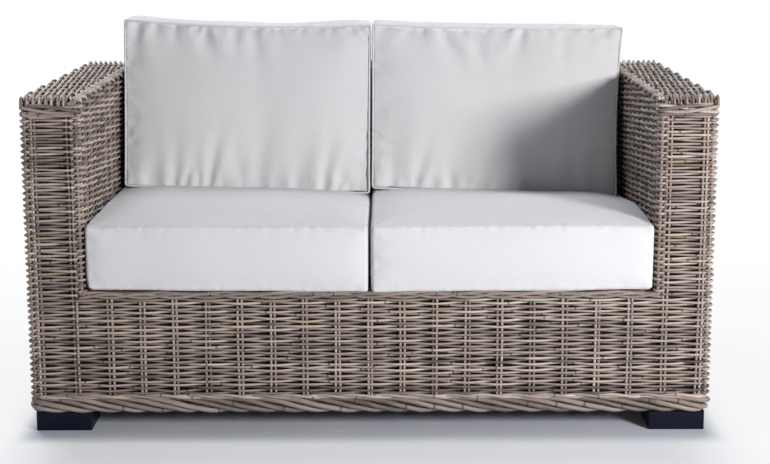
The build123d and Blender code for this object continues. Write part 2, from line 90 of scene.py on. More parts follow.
def setting(name, description, value, **kind):
    return bpy.props.FloatProperty(name=name, description=description, default=value, **kind)


def length_setting(name, description, millimetres):
    return setting(name, description, millimetres * MM, unit="LENGTH")


def angle_setting(name, description, radians):
    return setting(name, description, radians, subtype="ANGLE")


def triple_setting(name, description, values, subtype="COLOR"):
    return bpy.props.FloatVectorProperty(name=name, description=description, subtype=subtype, default=values)


class CaneSizes(bpy.types.PropertyGroup):
    """Sizes of the woven cane."""

    row_pitch: length_setting("Row pitch", "Height from one woven row to the next", 6.6)
    cane: length_setting("Cane", "Thickness of the woven cane", 5.6)
    rod: length_setting("Rod", "Thickness of the upright rods", 6.2)
    rod_spacing: length_setting("Rod spacing", "Between the two rods of a pair", 9.0)
    pair_spacing: length_setting("Pair spacing", "Between pairs along the sides", 68.0)
    wave: length_setting("Wave", "How far a row stands off the rods' plane", 6.4)
    corner: length_setting("Corner", "Radius at which the rows turn a corner", 9.0)
    corner_bulge: length_setting("Corner bulge", "How far the rows stand off at a corner rod", 2.5)
    corner_rod: length_setting("Corner rod", "Thickness of the single rod in each corner", 8.0)
    wander: length_setting("Wander", "How far hand work strays from true", 0.75)


class EdgeSizes(bpy.types.PropertyGroup):
    """Sizes of the plaits and borders."""

    plait_cane: length_setting("Plait cane", "Thickness of the canes in the edge plaits", 6.9)
    plait_period: length_setting("Plait period", "Length in which a plaited strand comes back", 190)
    rope_cane: length_setting("Rope cane", "Thickness of the canes in the bottom border", 10.6)
    rope_strands: bpy.props.IntProperty(
        name="Rope strands", description="Canes wound round the bottom border", default=5)
    rope_pitch: length_setting("Rope pitch", "Length of one full turn of the bottom border", 300)


class CushionSizes(bpy.types.PropertyGroup):
    """Sizes of the soft cushions."""

    mesh: length_setting("Mesh", "Spacing of the cloth mesh", 10)
    seat_round: length_setting("Seat edge", "Rounding of the seat cushions' sewn edges", 8)
    back_round: length_setting("Back edge", "Rounding of the back cushions' sewn edges", 9)
    piping: length_setting("Piping", "Thickness of the piping round the back cushions", 4.6)
    pressure: setting("Pressure", "How hard the filling pushes on the cloth", 4.0)


class Finishes(bpy.types.PropertyGroup):
    """Colours of the finishes."""

    cane_dark: triple_setting("Dark cane", "The darkest canes", (0.055, 0.043, 0.040))
    cane_mid: triple_setting("Middle cane", "The usual grey-brown canes", (0.308, 0.247, 0.222))
    cane_light: triple_setting("Light cane", "The palest canes", (0.62, 0.54, 0.47))
    cane_gold: triple_setting("Golden cane", "The canes with a warm cast", (0.45, 0.345, 0.225))
    canvas: triple_setting("Canvas", "The cushions' cloth", (0.72, 0.717, 0.738))
    block: triple_setting("Feet", "The black feet", (0.0022, 0.0030, 0.0110))
    timber: triple_setting("Timber", "The frame's stained timber", (0.17, 0.105, 0.062))
    # The backing's near-black is painted shade: it stands in for the deep shadow in the gaps of the weave.
    shade_backing: triple_setting("Backing", "The thin dark boards behind the cane", (0.010, 0.008, 0.007))
    steel: triple_setting("Steel", "Zinc plated steel", (0.62, 0.62, 0.60))
    floor: triple_setting("Floor", "The pale floor", (0.70, 0.735, 0.84))


class StageSettings(bpy.types.PropertyGroup):
    """The studio."""

    eye: triple_setting("Eye", "Where the camera stands", (0.03525, -3.99938, 1.13028), "TRANSLATION")
    lens: setting("Lens", "Focal length in millimetres on a 36 mm wide sensor", 77.9)
    pitch: angle_setting("Pitch", "How far the camera looks down", 0.189157)
    yaw: angle_setting("Yaw", "How far the camera looks aside", -0.00044)
    roll: angle_setting("Roll", "How far the camera leans", 0.002217)
    key_power: setting("Key", "Power of the large soft lamp at the front right", 156.0)
    sky: setting("Sky", "Strength of the light from all round", 0.11)


class Value:
    """A socket's value in a material; arithmetic on it adds Math nodes."""

    def __init__(self, paint, socket):
        self.paint = paint
        self.socket = socket

    def calc(self, operation, first, second):
        return self.paint.node("ShaderNodeMath", {"operation": operation}, {0: first, 1: second})


for way, operation in (("add", "ADD"), ("sub", "SUBTRACT"), ("mul", "MULTIPLY"), ("mod", "FLOORED_MODULO")):
    setattr(Value, "__%s__" % way, lambda self, other, kind=operation: self.calc(kind, self, other))
    setattr(Value, "__r%s__" % way, lambda self, other, kind=operation: self.calc(kind, other, self))


class Paint:
    """The nodes of one material, or of the world."""

    def __init__(self, name, world=False):
        self.material = (bpy.data.worlds if world else bpy.data.materials).new(name)
        self.output = "ShaderNodeOutputWorld" if world else "ShaderNodeOutputMaterial"
        self.material.use_nodes = True
        self.tree = self.material.node_tree
        self.tree.nodes.clear()

    def node(self, kind, settings=None, inputs=None, out=0):
        """Adds a node of any type, sets it, joins its inputs and gives one output."""
        node = self.tree.nodes.new(kind)
        for key, value in (settings or {}).items():
            if key == "stops":
                ramp = node.color_ramp.elements
                while len(ramp) < len(value):
                    ramp.new(1.0)
                for element, (place, colour) in zip(ramp, value):
                    element.position = place
                    element.color = (*colour, 1.0)
            else:
                setattr(node, key, value)
        for key, value in (inputs or {}).items():
            if isinstance(value, Value):
                self.tree.links.new(value.socket, node.inputs[key])
            elif isinstance(value, (tuple, list)) and node.inputs[key].type == "RGBA" and len(value) == 3:
                node.inputs[key].default_value = (*value, 1.0)
            else:
                node.inputs[key].default_value = value
        return Value(self, node.outputs[out])

    def sine(self, angle):
        return self.node("ShaderNodeMath", {"operation": "SINE"}, {0: angle})

    def step(self, value, start, end):
        """Rises smoothly from 0 at start to 1 at end."""
        smooth = {"interpolation_type": "SMOOTHSTEP"}
        return self.node("ShaderNodeMapRange", smooth, {0: value, 1: start, 2: end})

    def blend(self, factor, first, second, way="MIX"):
        """Mixes two colours."""
        return self.node(
            "ShaderNodeMix", {"data_type": "RGBA", "blend_type": way}, {0: factor, 6: first, 7: second}, 2)

    def stretch(self, vector, scale):
        return self.node("ShaderNodeVectorMath", {"operation": "MULTIPLY"}, {0: vector, 1: scale})

    def noise(self, vector, scale, detail=3.0, rough=0.5):
        """Soft noise round 0.5."""
        return self.node("ShaderNodeTexNoise", {"noise_dimensions": "3D"}, {
            "Vector": vector, "Scale": scale, "Detail": detail, "Roughness": rough})

    def streaks(self, vector, scales, detail, rough=0.5):
        """Noise that is drawn out along one axis."""
        return self.noise(self.stretch(vector, scales), 1.0, detail, rough)

    def parts(self, vector):
        """The three numbers of a vector."""
        split = self.node("ShaderNodeSeparateXYZ", {}, {0: vector})
        return [Value(self, output) for output in split.socket.node.outputs]

    def attribute(self, name, out="Fac"):
        return self.node("ShaderNodeAttribute", {"attribute_name": name}, {}, out)

    def bump(self, height, distance, strength=1.0, under=None):
        inputs = {"Height": height, "Distance": distance, "Strength": strength}
        if under is not None:
            inputs["Normal"] = under
        return self.node("ShaderNodeBump", {}, inputs)

    def where(self):
        """The place in the object's own space."""
        return self.node("ShaderNodeTexCoord", {}, {}, "Object")

    def ramp(self, level, *stops):
        return self.node("ShaderNodeValToRGB", {"stops": stops}, {0: level}, "Color")

    def seen_plainly(self):
        """1 for what the camera sees straight, in a reflection or through glass."""
        kinds = ("Camera", "Glossy", "Transmission")
        rays = [self.node("ShaderNodeLightPath", {}, {}, "Is %s Ray" % kind) for kind in kinds]
        clamped = {"operation": "ADD", "use_clamp": True}
        return self.node("ShaderNodeMath", clamped, {0: rays[0] + rays[1], 1: rays[2]})

    def surface(self, **inputs):
        """Ends the material in a Principled surface."""
        named = {key.replace("_", " "): value for key, value in inputs.items()}
        return self.end(self.node("ShaderNodeBsdfPrincipled", {}, named, "BSDF"))

    def end(self, shader):
        output = self.tree.nodes.new(self.output)
        self.tree.links.new(shader.socket, output.inputs["Surface"])
        return self.material


def finishes():
    return bpy.context.scene.loveseat_finishes


def shaded(colour, factor, lift=0.0):
    return tuple(lift + factor * c for c in colour)


def cane_material():
    """Weathered cane: each run its own tone, with streaks, joints and dirt along it."""
    colours = finishes()
    dark, mid, light = tuple(colours.cane_dark), tuple(colours.cane_mid), tuple(colours.cane_light)
    joint_spacing, joint_start, joint_end = 0.27, 4 * MM, 7.5 * MM
    paint = Paint("woven_cane_dressed")
    tone = paint.attribute("tone")
    warm = paint.attribute("warm")
    grain = paint.attribute("grain", "Vector")
    along = paint.parts(grain)[0]
    patches = paint.streaks(grain, (9.0, 60.0, 60.0), 3.0)
    streaks = paint.streaks(grain, (30.0, 900.0, 900.0), 3.0, 0.6)
    level = tone * 0.80 + (patches - 0.5) * 0.85 + (streaks - 0.5) * 0.45 + 0.08
    cane = paint.ramp(level, (0.0, dark), (0.46, mid), (1.0, light))
    cane = paint.blend(paint.step(warm, 0.66, 1.0) * 0.45, cane, tuple(colours.cane_gold))
    flecks = paint.streaks(grain, (55.0, 300.0, 300.0), 2.0)
    flecked = paint.step(flecks, 0.62, 0.74) * 0.65
    cane = paint.blend(flecked, cane, shaded(mid, 0.45))
    place = (along + warm * 0.31) % joint_spacing
    joint = paint.step(place, 0.0, 2.8 * MM) * (1.0 - paint.step(place, joint_start, joint_end))
    cane = paint.blend(joint * 0.75, cane, shaded(dark, 0.55))
    height = streaks * 0.6 + patches * 0.3 + joint * 0.9
    return paint.surface(
        Base_Color=cane, Roughness=0.50 + (streaks - 0.5) * 0.4 + flecked * 0.2,
        Normal=paint.bump(height, 0.9 * MM, 0.75), Specular_IOR_Level=0.38)


def canvas_material():
    """Off-white outdoor canvas with a fine plain weave."""
    thread_spacing = 1.1 * MM
    paint = Paint("canvas_dressed")
    where = paint.where()
    facing = paint.parts(paint.node("ShaderNodeNewGeometry", {}, {}, "Normal"))
    x, y, z = paint.parts(where)
    turned, lying = (paint.step(facing[axis] * facing[axis], 0.35, 0.6) for axis in (0, 2))
    across = x * (1.0 - turned) + y * turned
    up = z * (1.0 - lying) + y * lying
    threads = paint.sine(across * (FULL_TURN / thread_spacing)) * paint.sine(up * (FULL_TURN / thread_spacing))
    slubs = paint.streaks(where, (35.0, 35.0, 900.0), 2.0)
    cross_slubs = paint.streaks(where, (900.0, 60.0, 35.0), 2.0)
    mottle = paint.noise(where, 7.0, 3.0)
    level = 0.965 + (slubs - 0.5) * 0.10 + (cross_slubs - 0.5) * 0.08 + (mottle - 0.5) * 0.07
    shade = paint.node("ShaderNodeCombineXYZ", {}, {0: level, 1: level, 2: level})
    cloth = paint.blend(1.0, tuple(finishes().canvas), shade, "MULTIPLY")
    height = threads * 0.25 + slubs * 0.5 + cross_slubs * 0.5
    pattern = paint.attribute("place", "Vector")
    level_folds, upright_folds, puckers = paint.parts(paint.attribute("folds", "Vector"))
    uneven = paint.step(paint.noise(pattern, 14.0, 2.0), 0.38, 0.66)
    level_gathers = paint.streaks(pattern, (50.0, 9.0, 9.0), 2.0, 0.55)
    upright_gathers = paint.streaks(pattern, (9.0, 9.0, 50.0), 2.0, 0.55)
    gathered = level_gathers * level_folds * uneven + upright_gathers * upright_folds * uneven
    gathered = gathered + paint.noise(pattern, 150.0, 1.0) * puckers * 0.35
    normal = paint.bump(height, 0.4 * MM, 0.45, paint.bump(gathered, 4.2 * MM, 1.0))
    return paint.surface(
        Base_Color=cloth, Roughness=0.86 + (mottle - 0.5) * 0.1, Normal=normal,
        Sheen_Weight=0.12, Sheen_Roughness=0.5, Specular_IOR_Level=0.25)


def painted_shade_backing_material():
    """The near-black of the thin boards behind the cane, painted shade that stands in for the deep shadow in the
    gaps of the weave, with a little lighter dust.
    """
    base = tuple(finishes().shade_backing)
    paint = Paint("painted_shade_backing_dressed")
    where = paint.where()
    dust = paint.noise(where, 30.0, 4.0, 0.6)
    # Painted shade: the boards' near-black, lifted a little where dust lies.
    shade_with_dust = paint.blend(paint.step(dust, 0.45, 0.8) * 0.6, base, shaded(base, 2.2))
    fine = paint.streaks(where, (900.0, 900.0, 900.0), 1.0)
    return paint.surface(
        Base_Color=shade_with_dust, Roughness=0.85 + (dust - 0.5) * 0.2, Normal=paint.bump(fine, 0.3 * MM, 0.4),
        Specular_IOR_Level=0.1)


def timber_material(name, strength):
    """Stained timber with grain along each member."""
    base = shaded(finishes().timber, strength)
    paint = Paint(name)
    where = paint.where()
    warp = paint.noise(where, 5.0, 2.0)
    rings = paint.noise(paint.stretch(where, (14.0, 14.0, 3.0)), 4.0, 5.0, 0.62)
    fine = paint.streaks(where, (160.0, 160.0, 12.0), 3.0)
    level = rings * 0.9 + (warp - 0.5) * 0.5 + (fine - 0.5) * 0.35
    wood = paint.ramp(level, (0.25, shaded(base, 0.5)), (0.5, base), (0.78, shaded(base, 1.45)))
    return paint.surface(
        Base_Color=wood, Roughness=0.6 + (fine - 0.5) * 0.3,
        Normal=paint.bump(fine * 0.6 + rings, 0.6 * MM, 0.5))


def block_material():
    """Near-black satin paint over wood, a little rubbed."""
    base = tuple(finishes().block)
    paint = Paint("black_block_dressed")
    where = paint.where()
    grain = paint.streaks(where, (8.0, 8.0, 130.0), 4.0, 0.6)
    rubs = paint.noise(where, 40.0, 4.0, 0.65)
    worn = paint.step(rubs, 0.62, 0.8) * 0.35
    return paint.surface(
        Base_Color=paint.blend(worn, base, shaded(base, 2.0, 0.015)),
        Roughness=0.45 + (grain - 0.5) * 0.25 + worn * 0.3,
        Normal=paint.bump(grain, 0.4 * MM, 0.45), Specular_IOR_Level=0.14)


def steel_material():
    """Zinc plated steel with a faint mottle."""
    base = tuple(finishes().steel)
    paint = Paint("zinc_steel_dressed")
    spangle = paint.noise(paint.where(), 260.0, 2.0)
    return paint.surface(
        Base_Color=paint.blend(spangle, shaded(base, 0.8), base), Metallic=1.0, Roughness=0.32 + spangle * 0.2,
        Normal=paint.bump(spangle, 0.2 * MM, 0.3))


def new_object(name, mesh, material):
    piece = bpy.data.objects.new(name, mesh)
    bpy.context.scene.collection.objects.link(piece)
    mesh.materials.append(material)
    return piece


def add_vectors(mesh, name, vectors):
    """Stores a vector for each point of a mesh."""
    mesh.attributes.new(name, "FLOAT_VECTOR", "POINT").data.foreach_set("vector", vectors.ravel())


def unit(vectors):
    return vectors / np.maximum(np.linalg.norm(vectors, axis=-1, keepdims=True), 1e-9)


def bell(values):
    """1 at zero, falling off smoothly on both sides."""
    return np.exp(-values ** 2)


def travelled(points):
    """The way covered from the first of some points to each of them."""
    return np.concatenate([[0.0], np.cumsum(np.linalg.norm(np.diff(points, axis=0), axis=1))])


class Canes:
    """Round strands that are gathered into one mesh, with a strip of the bake map for each."""

    def __init__(self, seed, round_sides=6):
        self.random = np.random.default_rng(seed)
        self.round_sides = round_sides
        self.points = []
        self.faces = []
        self.ends = []
        self.tones = []
        self.warms = []
        self.grains = []
        self.strips = []
        self.count = 0

    def run_values(self, along):
        """A tone and a warmth that change where one cane ends and the next one starts."""
        shortest, longest = 0.7, 2.2  # How long the canes are, in metres.
        start = float(along.min()) - 1e-6
        span = float(along.max()) - start
        cuts = start + np.cumsum(self.random.uniform(shortest, longest, 2 + int(span / shortest)))
        cuts -= self.random.uniform(0.0, shortest)
        which = np.searchsorted(cuts, along)
        tones = self.random.beta(1.9, 1.9, len(cuts) + 1)
        warms = self.random.uniform(0.0, 1.0, len(cuts) + 1)
        shifts = self.random.uniform(0.0, 40.0, len(cuts) + 1)
        return tones[which], warms[which], shifts[which]

    def add(self, line, out, radius, along=None, values=None):
        """Adds one strand along the points of line; out is the direction that its first side faces."""
        line = np.asarray(line, dtype=float)
        count = len(line)
        if along is None:
            along = travelled(line)
        tone, warm, shift = values if values is not None else self.run_values(along)
        radius = np.broadcast_to(radius, (count,))
        heading = unit(np.gradient(line, axis=0))
        out = np.broadcast_to(out, line.shape)
        out = unit(out - heading * np.sum(out * heading, axis=1, keepdims=True))
        across = np.cross(heading, out)
        sides = self.round_sides
        turn = np.arange(sides) * (FULL_TURN / sides)
        offset = np.cos(turn)[None, :, None] * out[:, None, :] + np.sin(turn)[None, :, None] * across[:, None, :]
        offset = offset * radius[:, None, None]
        self.points.append((line[:, None, :] + offset).reshape(-1, 3))
        ring = np.arange(sides)
        step = np.arange(count - 1)[:, None] * sides + self.count
        following = (ring + 1) % sides
        quads = np.stack([step + ring, step + following, step + sides + following, step + sides + ring], axis=-1)
        self.faces.append(quads.reshape(-1, 4))
        self.ends += [self.count + ring[::-1], self.count + (count - 1) * sides + ring]
        self.tones.append(np.repeat(tone, sides))
        self.warms.append(np.repeat(warm, sides))
        grain = np.empty((count, sides, 3))
        grain[:, :, 0] = (along + shift)[:, None]
        grain[:, :, 1] = radius[:, None] * np.cos(turn) + shift[:, None]
        grain[:, :, 2] = radius[:, None] * np.sin(turn)
        self.grains.append(grain.reshape(-1, 3))
        self.strips.append(count)
        self.count += count * sides

    def strip_map(self):
        """Lays each strand flat in its own strip of the bake map, with its end caps beside it."""
        sides = self.round_sides
        places, caps = [], []
        total = len(self.strips)
        margin, cap_width = 0.012, 0.0045
        turn = np.arange(sides) * (FULL_TURN / sides)
        ring = np.stack([cap_width * np.cos(turn), 0.4 / total * np.sin(turn)], axis=-1)
        corner = np.array([(0, 0), (0, 1), (1, 1), (1, 0)])
        for strip, count in enumerate(self.strips):
            i = np.arange(count - 1)[:, None, None] + corner[None, None, :, 0]
            k = np.arange(sides)[None, :, None] + corner[None, None, :, 1]
            u = margin + (1 - 2 * margin) * i / (count - 1)
            v = (strip + 0.04 + 0.92 * k / sides) / total
            places.append(np.stack(np.broadcast_arrays(u, v), axis=-1).reshape(-1, 2))
            middle = (strip + 0.5) / total
            caps.append((np.array([margin / 2, middle]) + ring)[::-1])
            caps.append(np.array([1 - margin / 2, middle]) + ring)
        return np.concatenate(places + caps)

    def piece(self, name, material):
        sides = self.round_sides
        mesh = bpy.data.meshes.new(name)
        points = np.concatenate(self.points)
        quads = np.concatenate(self.faces)
        ends = np.stack(self.ends)
        loops = np.concatenate([quads.ravel(), ends.ravel()])
        mesh.vertices.add(len(points))
        mesh.vertices.foreach_set("co", points.ravel())
        mesh.loops.add(len(loops))
        mesh.loops.foreach_set("vertex_index", loops)
        starts = np.concatenate([np.arange(len(quads)) * 4, len(quads) * 4 + np.arange(len(ends)) * sides])
        mesh.polygons.add(len(starts))
        mesh.polygons.foreach_set("loop_start", starts)
        mesh.polygons.foreach_set("use_smooth", np.arange(len(starts)) < len(quads))
        mesh.update(calc_edges=True)
        for key, values in (("tone", self.tones), ("warm", self.warms)):
            mesh.attributes.new(key, "FLOAT", "POINT").data.foreach_set("value", np.concatenate(values))
        add_vectors(mesh, "grain", np.concatenate(self.grains))
        layer = mesh.uv_layers.new(name="OFBake")
        layer.data.foreach_set("uv", self.strip_map().ravel())
        return new_object(name, mesh, material)


class Course:
    """A way round the sofa in plan, with its corners rounded, that rows of cane follow."""

    def __init__(self, corners, radius):
        corners = [np.array(corner, dtype=float) for corner in corners]
        points, headings = [corners[0]], []
        for before, corner, after in zip(corners, corners[1:], corners[2:]):
            come = unit(corner - before)
            leave = unit(after - corner)
            start = corner - come * radius
            side = np.array([-come[1], come[0]])
            turn = math.copysign(1.0, come[0] * leave[1] - come[1] * leave[0])
            centre = start + side * radius * turn
            first = math.atan2(come[1], come[0])
            if not headings:
                headings.append(first)
            first = headings[-1]
            for share in np.linspace(0.0, 1.0, 9):
                angle = first + turn * share * math.pi / 2
                points.append(centre - turn * radius * np.array([-math.sin(angle), math.cos(angle)]))
                headings.append(angle)
        points.append(corners[-1])
        headings.append(headings[-1])
        self.points = np.array(points)
        self.headings = np.array(headings)
        self.reach = travelled(self.points)
        self.length = self.reach[-1]

    def at(self, along, closed):
        """Points and outward directions at distances along the way."""
        if closed:
            along = np.mod(along, self.length)
        x = np.interp(along, self.reach, self.points[:, 0])
        y = np.interp(along, self.reach, self.points[:, 1])
        heading = np.interp(along, self.reach, self.headings)
        return np.stack([x, y], axis=-1), np.stack([-np.sin(heading), np.cos(heading)], axis=-1)

    def find(self, point):
        """The distance along the way at which it passes nearest to a point."""
        start, end = self.points[:-1], self.points[1:]
        run = end - start
        size = np.maximum(np.sum(run * run, axis=1), 1e-12)
        share = np.clip(np.sum((np.array(point) - start) * run, axis=1) / size, 0.0, 1.0)
        gap = np.linalg.norm(start + run * share[:, None] - np.array(point), axis=1)
        best = int(np.argmin(gap))
        return self.reach[best] + share[best] * math.sqrt(size[best])


def cane_sizes():
    return bpy.context.scene.loveseat_cane


def even(count, step):
    """Places spread evenly about zero."""
    return (np.arange(count) - (count - 1) / 2) * step


def pair_places():
    """Where the pairs of rods stand along each wall."""
    pitch = cane_sizes().pair_spacing
    return {
        "apron": even(17, 1.05 * pitch),
        "arm": np.array([WELL_PLANE + 18 * MM, SIDE_PLANE - 20 * MM]),
        "side": even(13, pitch),
        "well_side": even(13, pitch)[:11],
        "back": even(21, 1.041 * pitch),
        "well_back": even(17, 1.103 * pitch),
    }


# Where a row has a mesh ring, as shares of the way from one stake to the next.
SAMPLES = np.array([0.0, 0.085, 0.2, 0.35, 0.5, 0.65, 0.8, 0.915])


def row_samples(stakes):
    """Mesh places between stakes: how far along the way, an even row's wave there, and the place in stakes."""
    along, wave, pair = [], [], []
    half = cane_sizes().rod_spacing / 2 + 1.2 * MM
    for index, (start, end) in enumerate(zip(stakes, stakes[1:])):
        run = end - start
        along.append(start + SAMPLES * run)
        slope = np.clip((SAMPLES * run - half) / (run - 2 * half), 0.0, 1.0)
        wave.append(np.cos(math.pi * slope) * (-1) ** index)
        pair.append(index + SAMPLES)
    along.append([stakes[-1]])
    wave.append([(-1) ** (len(stakes) - 1)])
    pair.append([len(stakes) - 1])
    return np.concatenate(along), np.concatenate(wave), np.concatenate(pair)


def weave_rows(course, stakes, corners, heights, panels, canes, closed, random):
    """Weaves rows in and out of the stakes of a course, cut into panels at stakes."""
    sizes = cane_sizes()
    along, wave, pair = row_samples(stakes)
    plan, out = course.at(along, closed)
    knots = np.arange(len(stakes))
    at_corner = np.isin(knots, corners)
    stand = np.interp(pair, knots, sizes.corner_bulge * at_corner)
    corner_swing = 0.62  # How much of the wave is left at a single corner stake.
    swing = np.where(at_corner, corner_swing, 1.0)
    out3 = np.column_stack([out, np.zeros(len(out))])
    for row, height in heights:
        drift = random.normal(0.0, sizes.wander, len(stakes))
        depth = swing * (1.0 + random.normal(0.0, 0.08, len(stakes)))
        girth = 1.0 + random.normal(0.0, 0.07, len(stakes))
        if closed:
            for strays in (drift, depth, girth):
                strays[-1] = strays[0]
        rise = np.interp(pair, knots, drift)
        off = wave * (-1) ** row * sizes.wave * np.interp(pair, knots, depth) + stand
        radius = sizes.cane / 2 * np.interp(pair, knots, girth)
        line = np.column_stack([plan + out * off[:, None], height + rise])
        tone, warm, shift = canes["values"].run_values(along)
        for name, (first, last) in panels.items():
            part = slice(first * len(SAMPLES), last * len(SAMPLES) + 1)
            values = (tone[part], warm[part], shift[part])
            canes[name].add(line[part], out3[part], radius[part], along[part], values)


def add_rod(canes, line, out, random, dull=False, thickness=None):
    """Adds one rod that strays a little from its line."""
    sizes = cane_sizes()
    line = np.array(line, dtype=float)
    heading = unit(np.gradient(line, axis=0))
    side = np.cross(heading, np.broadcast_to(out, line.shape))
    knots = np.linspace(0, len(line) - 1, max(3, len(line) // 4))
    stray = np.interp(np.arange(len(line)), knots, random.normal(0.0, sizes.wander, len(knots)))
    radius = (thickness or sizes.rod) / 2 * (1.0 + random.normal(0.0, 0.05))
    along = travelled(line)
    tone, warm, shift = canes.run_values(along)
    if dull:
        tone, warm = 0.6 * tone, 0.5 * warm
    canes.add(line + side * stray[:, None], out, radius, along, (tone, warm, shift))


def upright(point, bottom, top):
    """The mesh line of an upright rod."""
    count = max(4, int((top - bottom) / (20 * MM)))
    return np.column_stack([np.tile(point, (count, 1)), np.linspace(bottom, top, count)])


def bent(points, radius, spacing):
    """A smooth line through runs with rounded corners, in space."""
    points = [np.array(p, dtype=float) for p in points]
    line = [points[0]]
    for before, corner, after in zip(points, points[1:], points[2:]):
        come, leave = unit(corner - before), unit(after - corner)
        for share in np.linspace(0.0, 1.0, 6):
            start, end = corner - come * radius, corner + leave * radius
            line.append((1 - share) ** 2 * start + 2 * share * (1 - share) * corner + share ** 2 * end)
    line.append(points[-1])
    line = np.array(line)
    reach = travelled(line)
    places = [0.0]
    for start, end in zip(reach, reach[1:]):
        count = max(1, int(round((end - start) / spacing)))
        places.extend(start + (end - start) * (np.arange(count) + 1) / count)
    return np.stack([np.interp(places, reach, line[:, axis]) for axis in range(3)], axis=-1)


def set_on_frame(canes, name, *nodes):
    """Makes canes a piece of the frame, in place of the nodes that they stand for."""
    piece = canes.piece(name, bpy.data.materials["woven_cane_dressed"])
    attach(piece, "frame")
    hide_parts(*nodes)


def other_side(way):
    """The same places and walls on the left, in the opposite order."""
    return [item.replace("right", "left") if isinstance(item, str) else (-item[0], item[1])
            for item in reversed(way)]


# Each upright wall and the panel that its cane stands for.
WALLS = {
    "right_back": "back_outer_panel", "left_back": "back_outer_panel",
    "right_outer": "right_arm_outer_panel", "left_outer": "left_arm_outer_panel",
    "right_front": "right_arm_front_panel", "left_front": "left_arm_front_panel",
    "apron": "apron_panel", "back_inner": "back_inner_panel",
    "right_inner": "right_arm_inner_panel", "left_inner": "left_arm_inner_panel",
}


class LOVESEAT_OT_weave(bpy.types.Operator):
    """Weaves the upright skins of the arms, the apron and the back"""
    bl_idname = "loveseat.weave"
    bl_label = "Woven skins"

    def execute(self, context):
        sizes = cane_sizes()
        places = pair_places()
        random = np.random.default_rng(11)
        canes = {name: Canes(20 + index) for index, name in enumerate(WALLS)}
        canes["values"] = Canes(5)
        stakes_of = {
            "right_back": [(x, REAR_PLANE) for x in places["back"] if x > -1 * MM],
            "right_outer": [(SIDE_PLANE, y) for y in places["side"][::-1]],
            "right_front": [(x, FRONT_PLANE) for x in places["arm"][::-1]],
            "right_inner": [(WELL_PLANE, y) for y in places["well_side"]],
            "apron": [(x, FRONT_PLANE) for x in places["apron"][::-1]],
            "back_inner": [(x, WELL_REAR) for x in places["well_back"][::-1]],
        }
        for wall in ("back", "outer", "front", "inner"):
            stakes_of["left_" + wall] = other_side(stakes_of["right_" + wall])
        stakes_of["left_back"].pop()  # The pair in the middle belongs to the right half.
        bottom = SKIN_BOTTOM + sizes.cane / 2
        rows = int((SKIN_TOP + 4 * MM - bottom) / sizes.row_pitch)
        heights = [(row, bottom + row * sizes.row_pitch) for row in range(rows + 1)]
        split = APRON_TOP + 1 * MM
        below = [pair for pair in heights if pair[1] < split]
        above = [pair for pair in heights if pair[1] >= split]
        in_well = [pair for pair in below if pair[1] > WELL_BOTTOM + sizes.cane / 2]

        def weave(corners, way, rows_here, closed):
            """Weaves one course along walls and corner stakes; a corner stake belongs to the wall before it."""
            course = Course(corners, sizes.corner)
            stakes, at_corners, panels = [], [], {}
            for item in way:
                if isinstance(item, str):
                    name, points = item, stakes_of[item]
                else:
                    at_corners.append(len(stakes))
                    points = [item]
                first = panels.get(name, (len(stakes),))[0]
                stakes += [course.find(point) for point in points]
                panels[name] = (first, len(stakes))
            if closed:
                stakes.append(stakes[0] + course.length)
            else:
                panels[name] = (first, len(stakes) - 1)
            weave_rows(course, stakes, at_corners, rows_here, panels, canes, closed, random)

        join = [(0, REAR_PLANE)]
        rear, front = (SIDE_PLANE, REAR_PLANE), (SIDE_PLANE, FRONT_PLANE)
        mouth, nook = (WELL_PLANE, FRONT_PLANE), (WELL_PLANE, WELL_REAR)
        way = ["right_back", rear, "right_outer", front, "right_front"]
        ring = [rear, front]
        weave(join + ring + other_side(ring) + join, way + ["apron"] + other_side(way), below, True)
        way += [mouth, "right_inner"]
        ring += [mouth, nook]
        weave(join + ring + other_side(ring) + join, way + ["back_inner"] + other_side(way), above, True)
        ring = [(WELL_PLANE, FRONT_PLANE + 30 * MM), nook]
        weave(ring + other_side(ring), ["right_inner", "back_inner", "left_inner"], in_well, False)

        foot = SKIN_BOTTOM - CLEAR_BELOW
        arm_top = ARM_FRONT_TOP + 6 * MM
        for shift in (-sizes.rod_spacing / 2, sizes.rod_spacing / 2):
            for name, out, start, end, dull in (
                    ("apron", (0, -1, 0), foot, APRON_TOP + 10 * MM, False),
                    ("right_front", (0, -1, 0), foot, arm_top, False),
                    ("left_front", (0, -1, 0), foot, arm_top, False),
                    ("right_back", (0, 1, 0), foot, SKIN_TOP, True),
                    ("left_back", (0, 1, 0), foot, SKIN_TOP, True),
                    ("back_inner", (0, -1, 0), WELL_BOTTOM, SKIN_TOP, True),
                    ("right_outer", (1, 0, 0), foot, SKIN_TOP, True),
                    ("left_outer", (-1, 0, 0), foot, SKIN_TOP, True),
                    ("right_inner", (-1, 0, 0), WELL_BOTTOM, SKIN_TOP, True),
                    ("left_inner", (1, 0, 0), WELL_BOTTOM, SKIN_TOP, True)):
                for x, y in stakes_of[name]:
                    place = (x, y + shift) if out[0] else (x + shift, y)
                    add_rod(canes[name], upright(place, start, end), out, random, dull)
        inset = 0.3 * sizes.corner
        for name, side in SIDES:
            for x, y, wall, start in (
                    (SIDE_PLANE - inset, FRONT_PLANE + inset, "front", foot),
                    (SIDE_PLANE - inset, REAR_PLANE - inset, "outer", foot),
                    (WELL_PLANE + inset, FRONT_PLANE + inset, "inner", APRON_TOP)):
                line = upright((side * x, y), start, SKIN_TOP)
                add_rod(canes["%s_%s" % (name, wall)], line, (side, 0, 0), random, False, sizes.corner_rod)
        for name, node in WALLS.items():
            set_on_frame(canes[name], "woven_" + name, node)
        return {"FINISHED"}


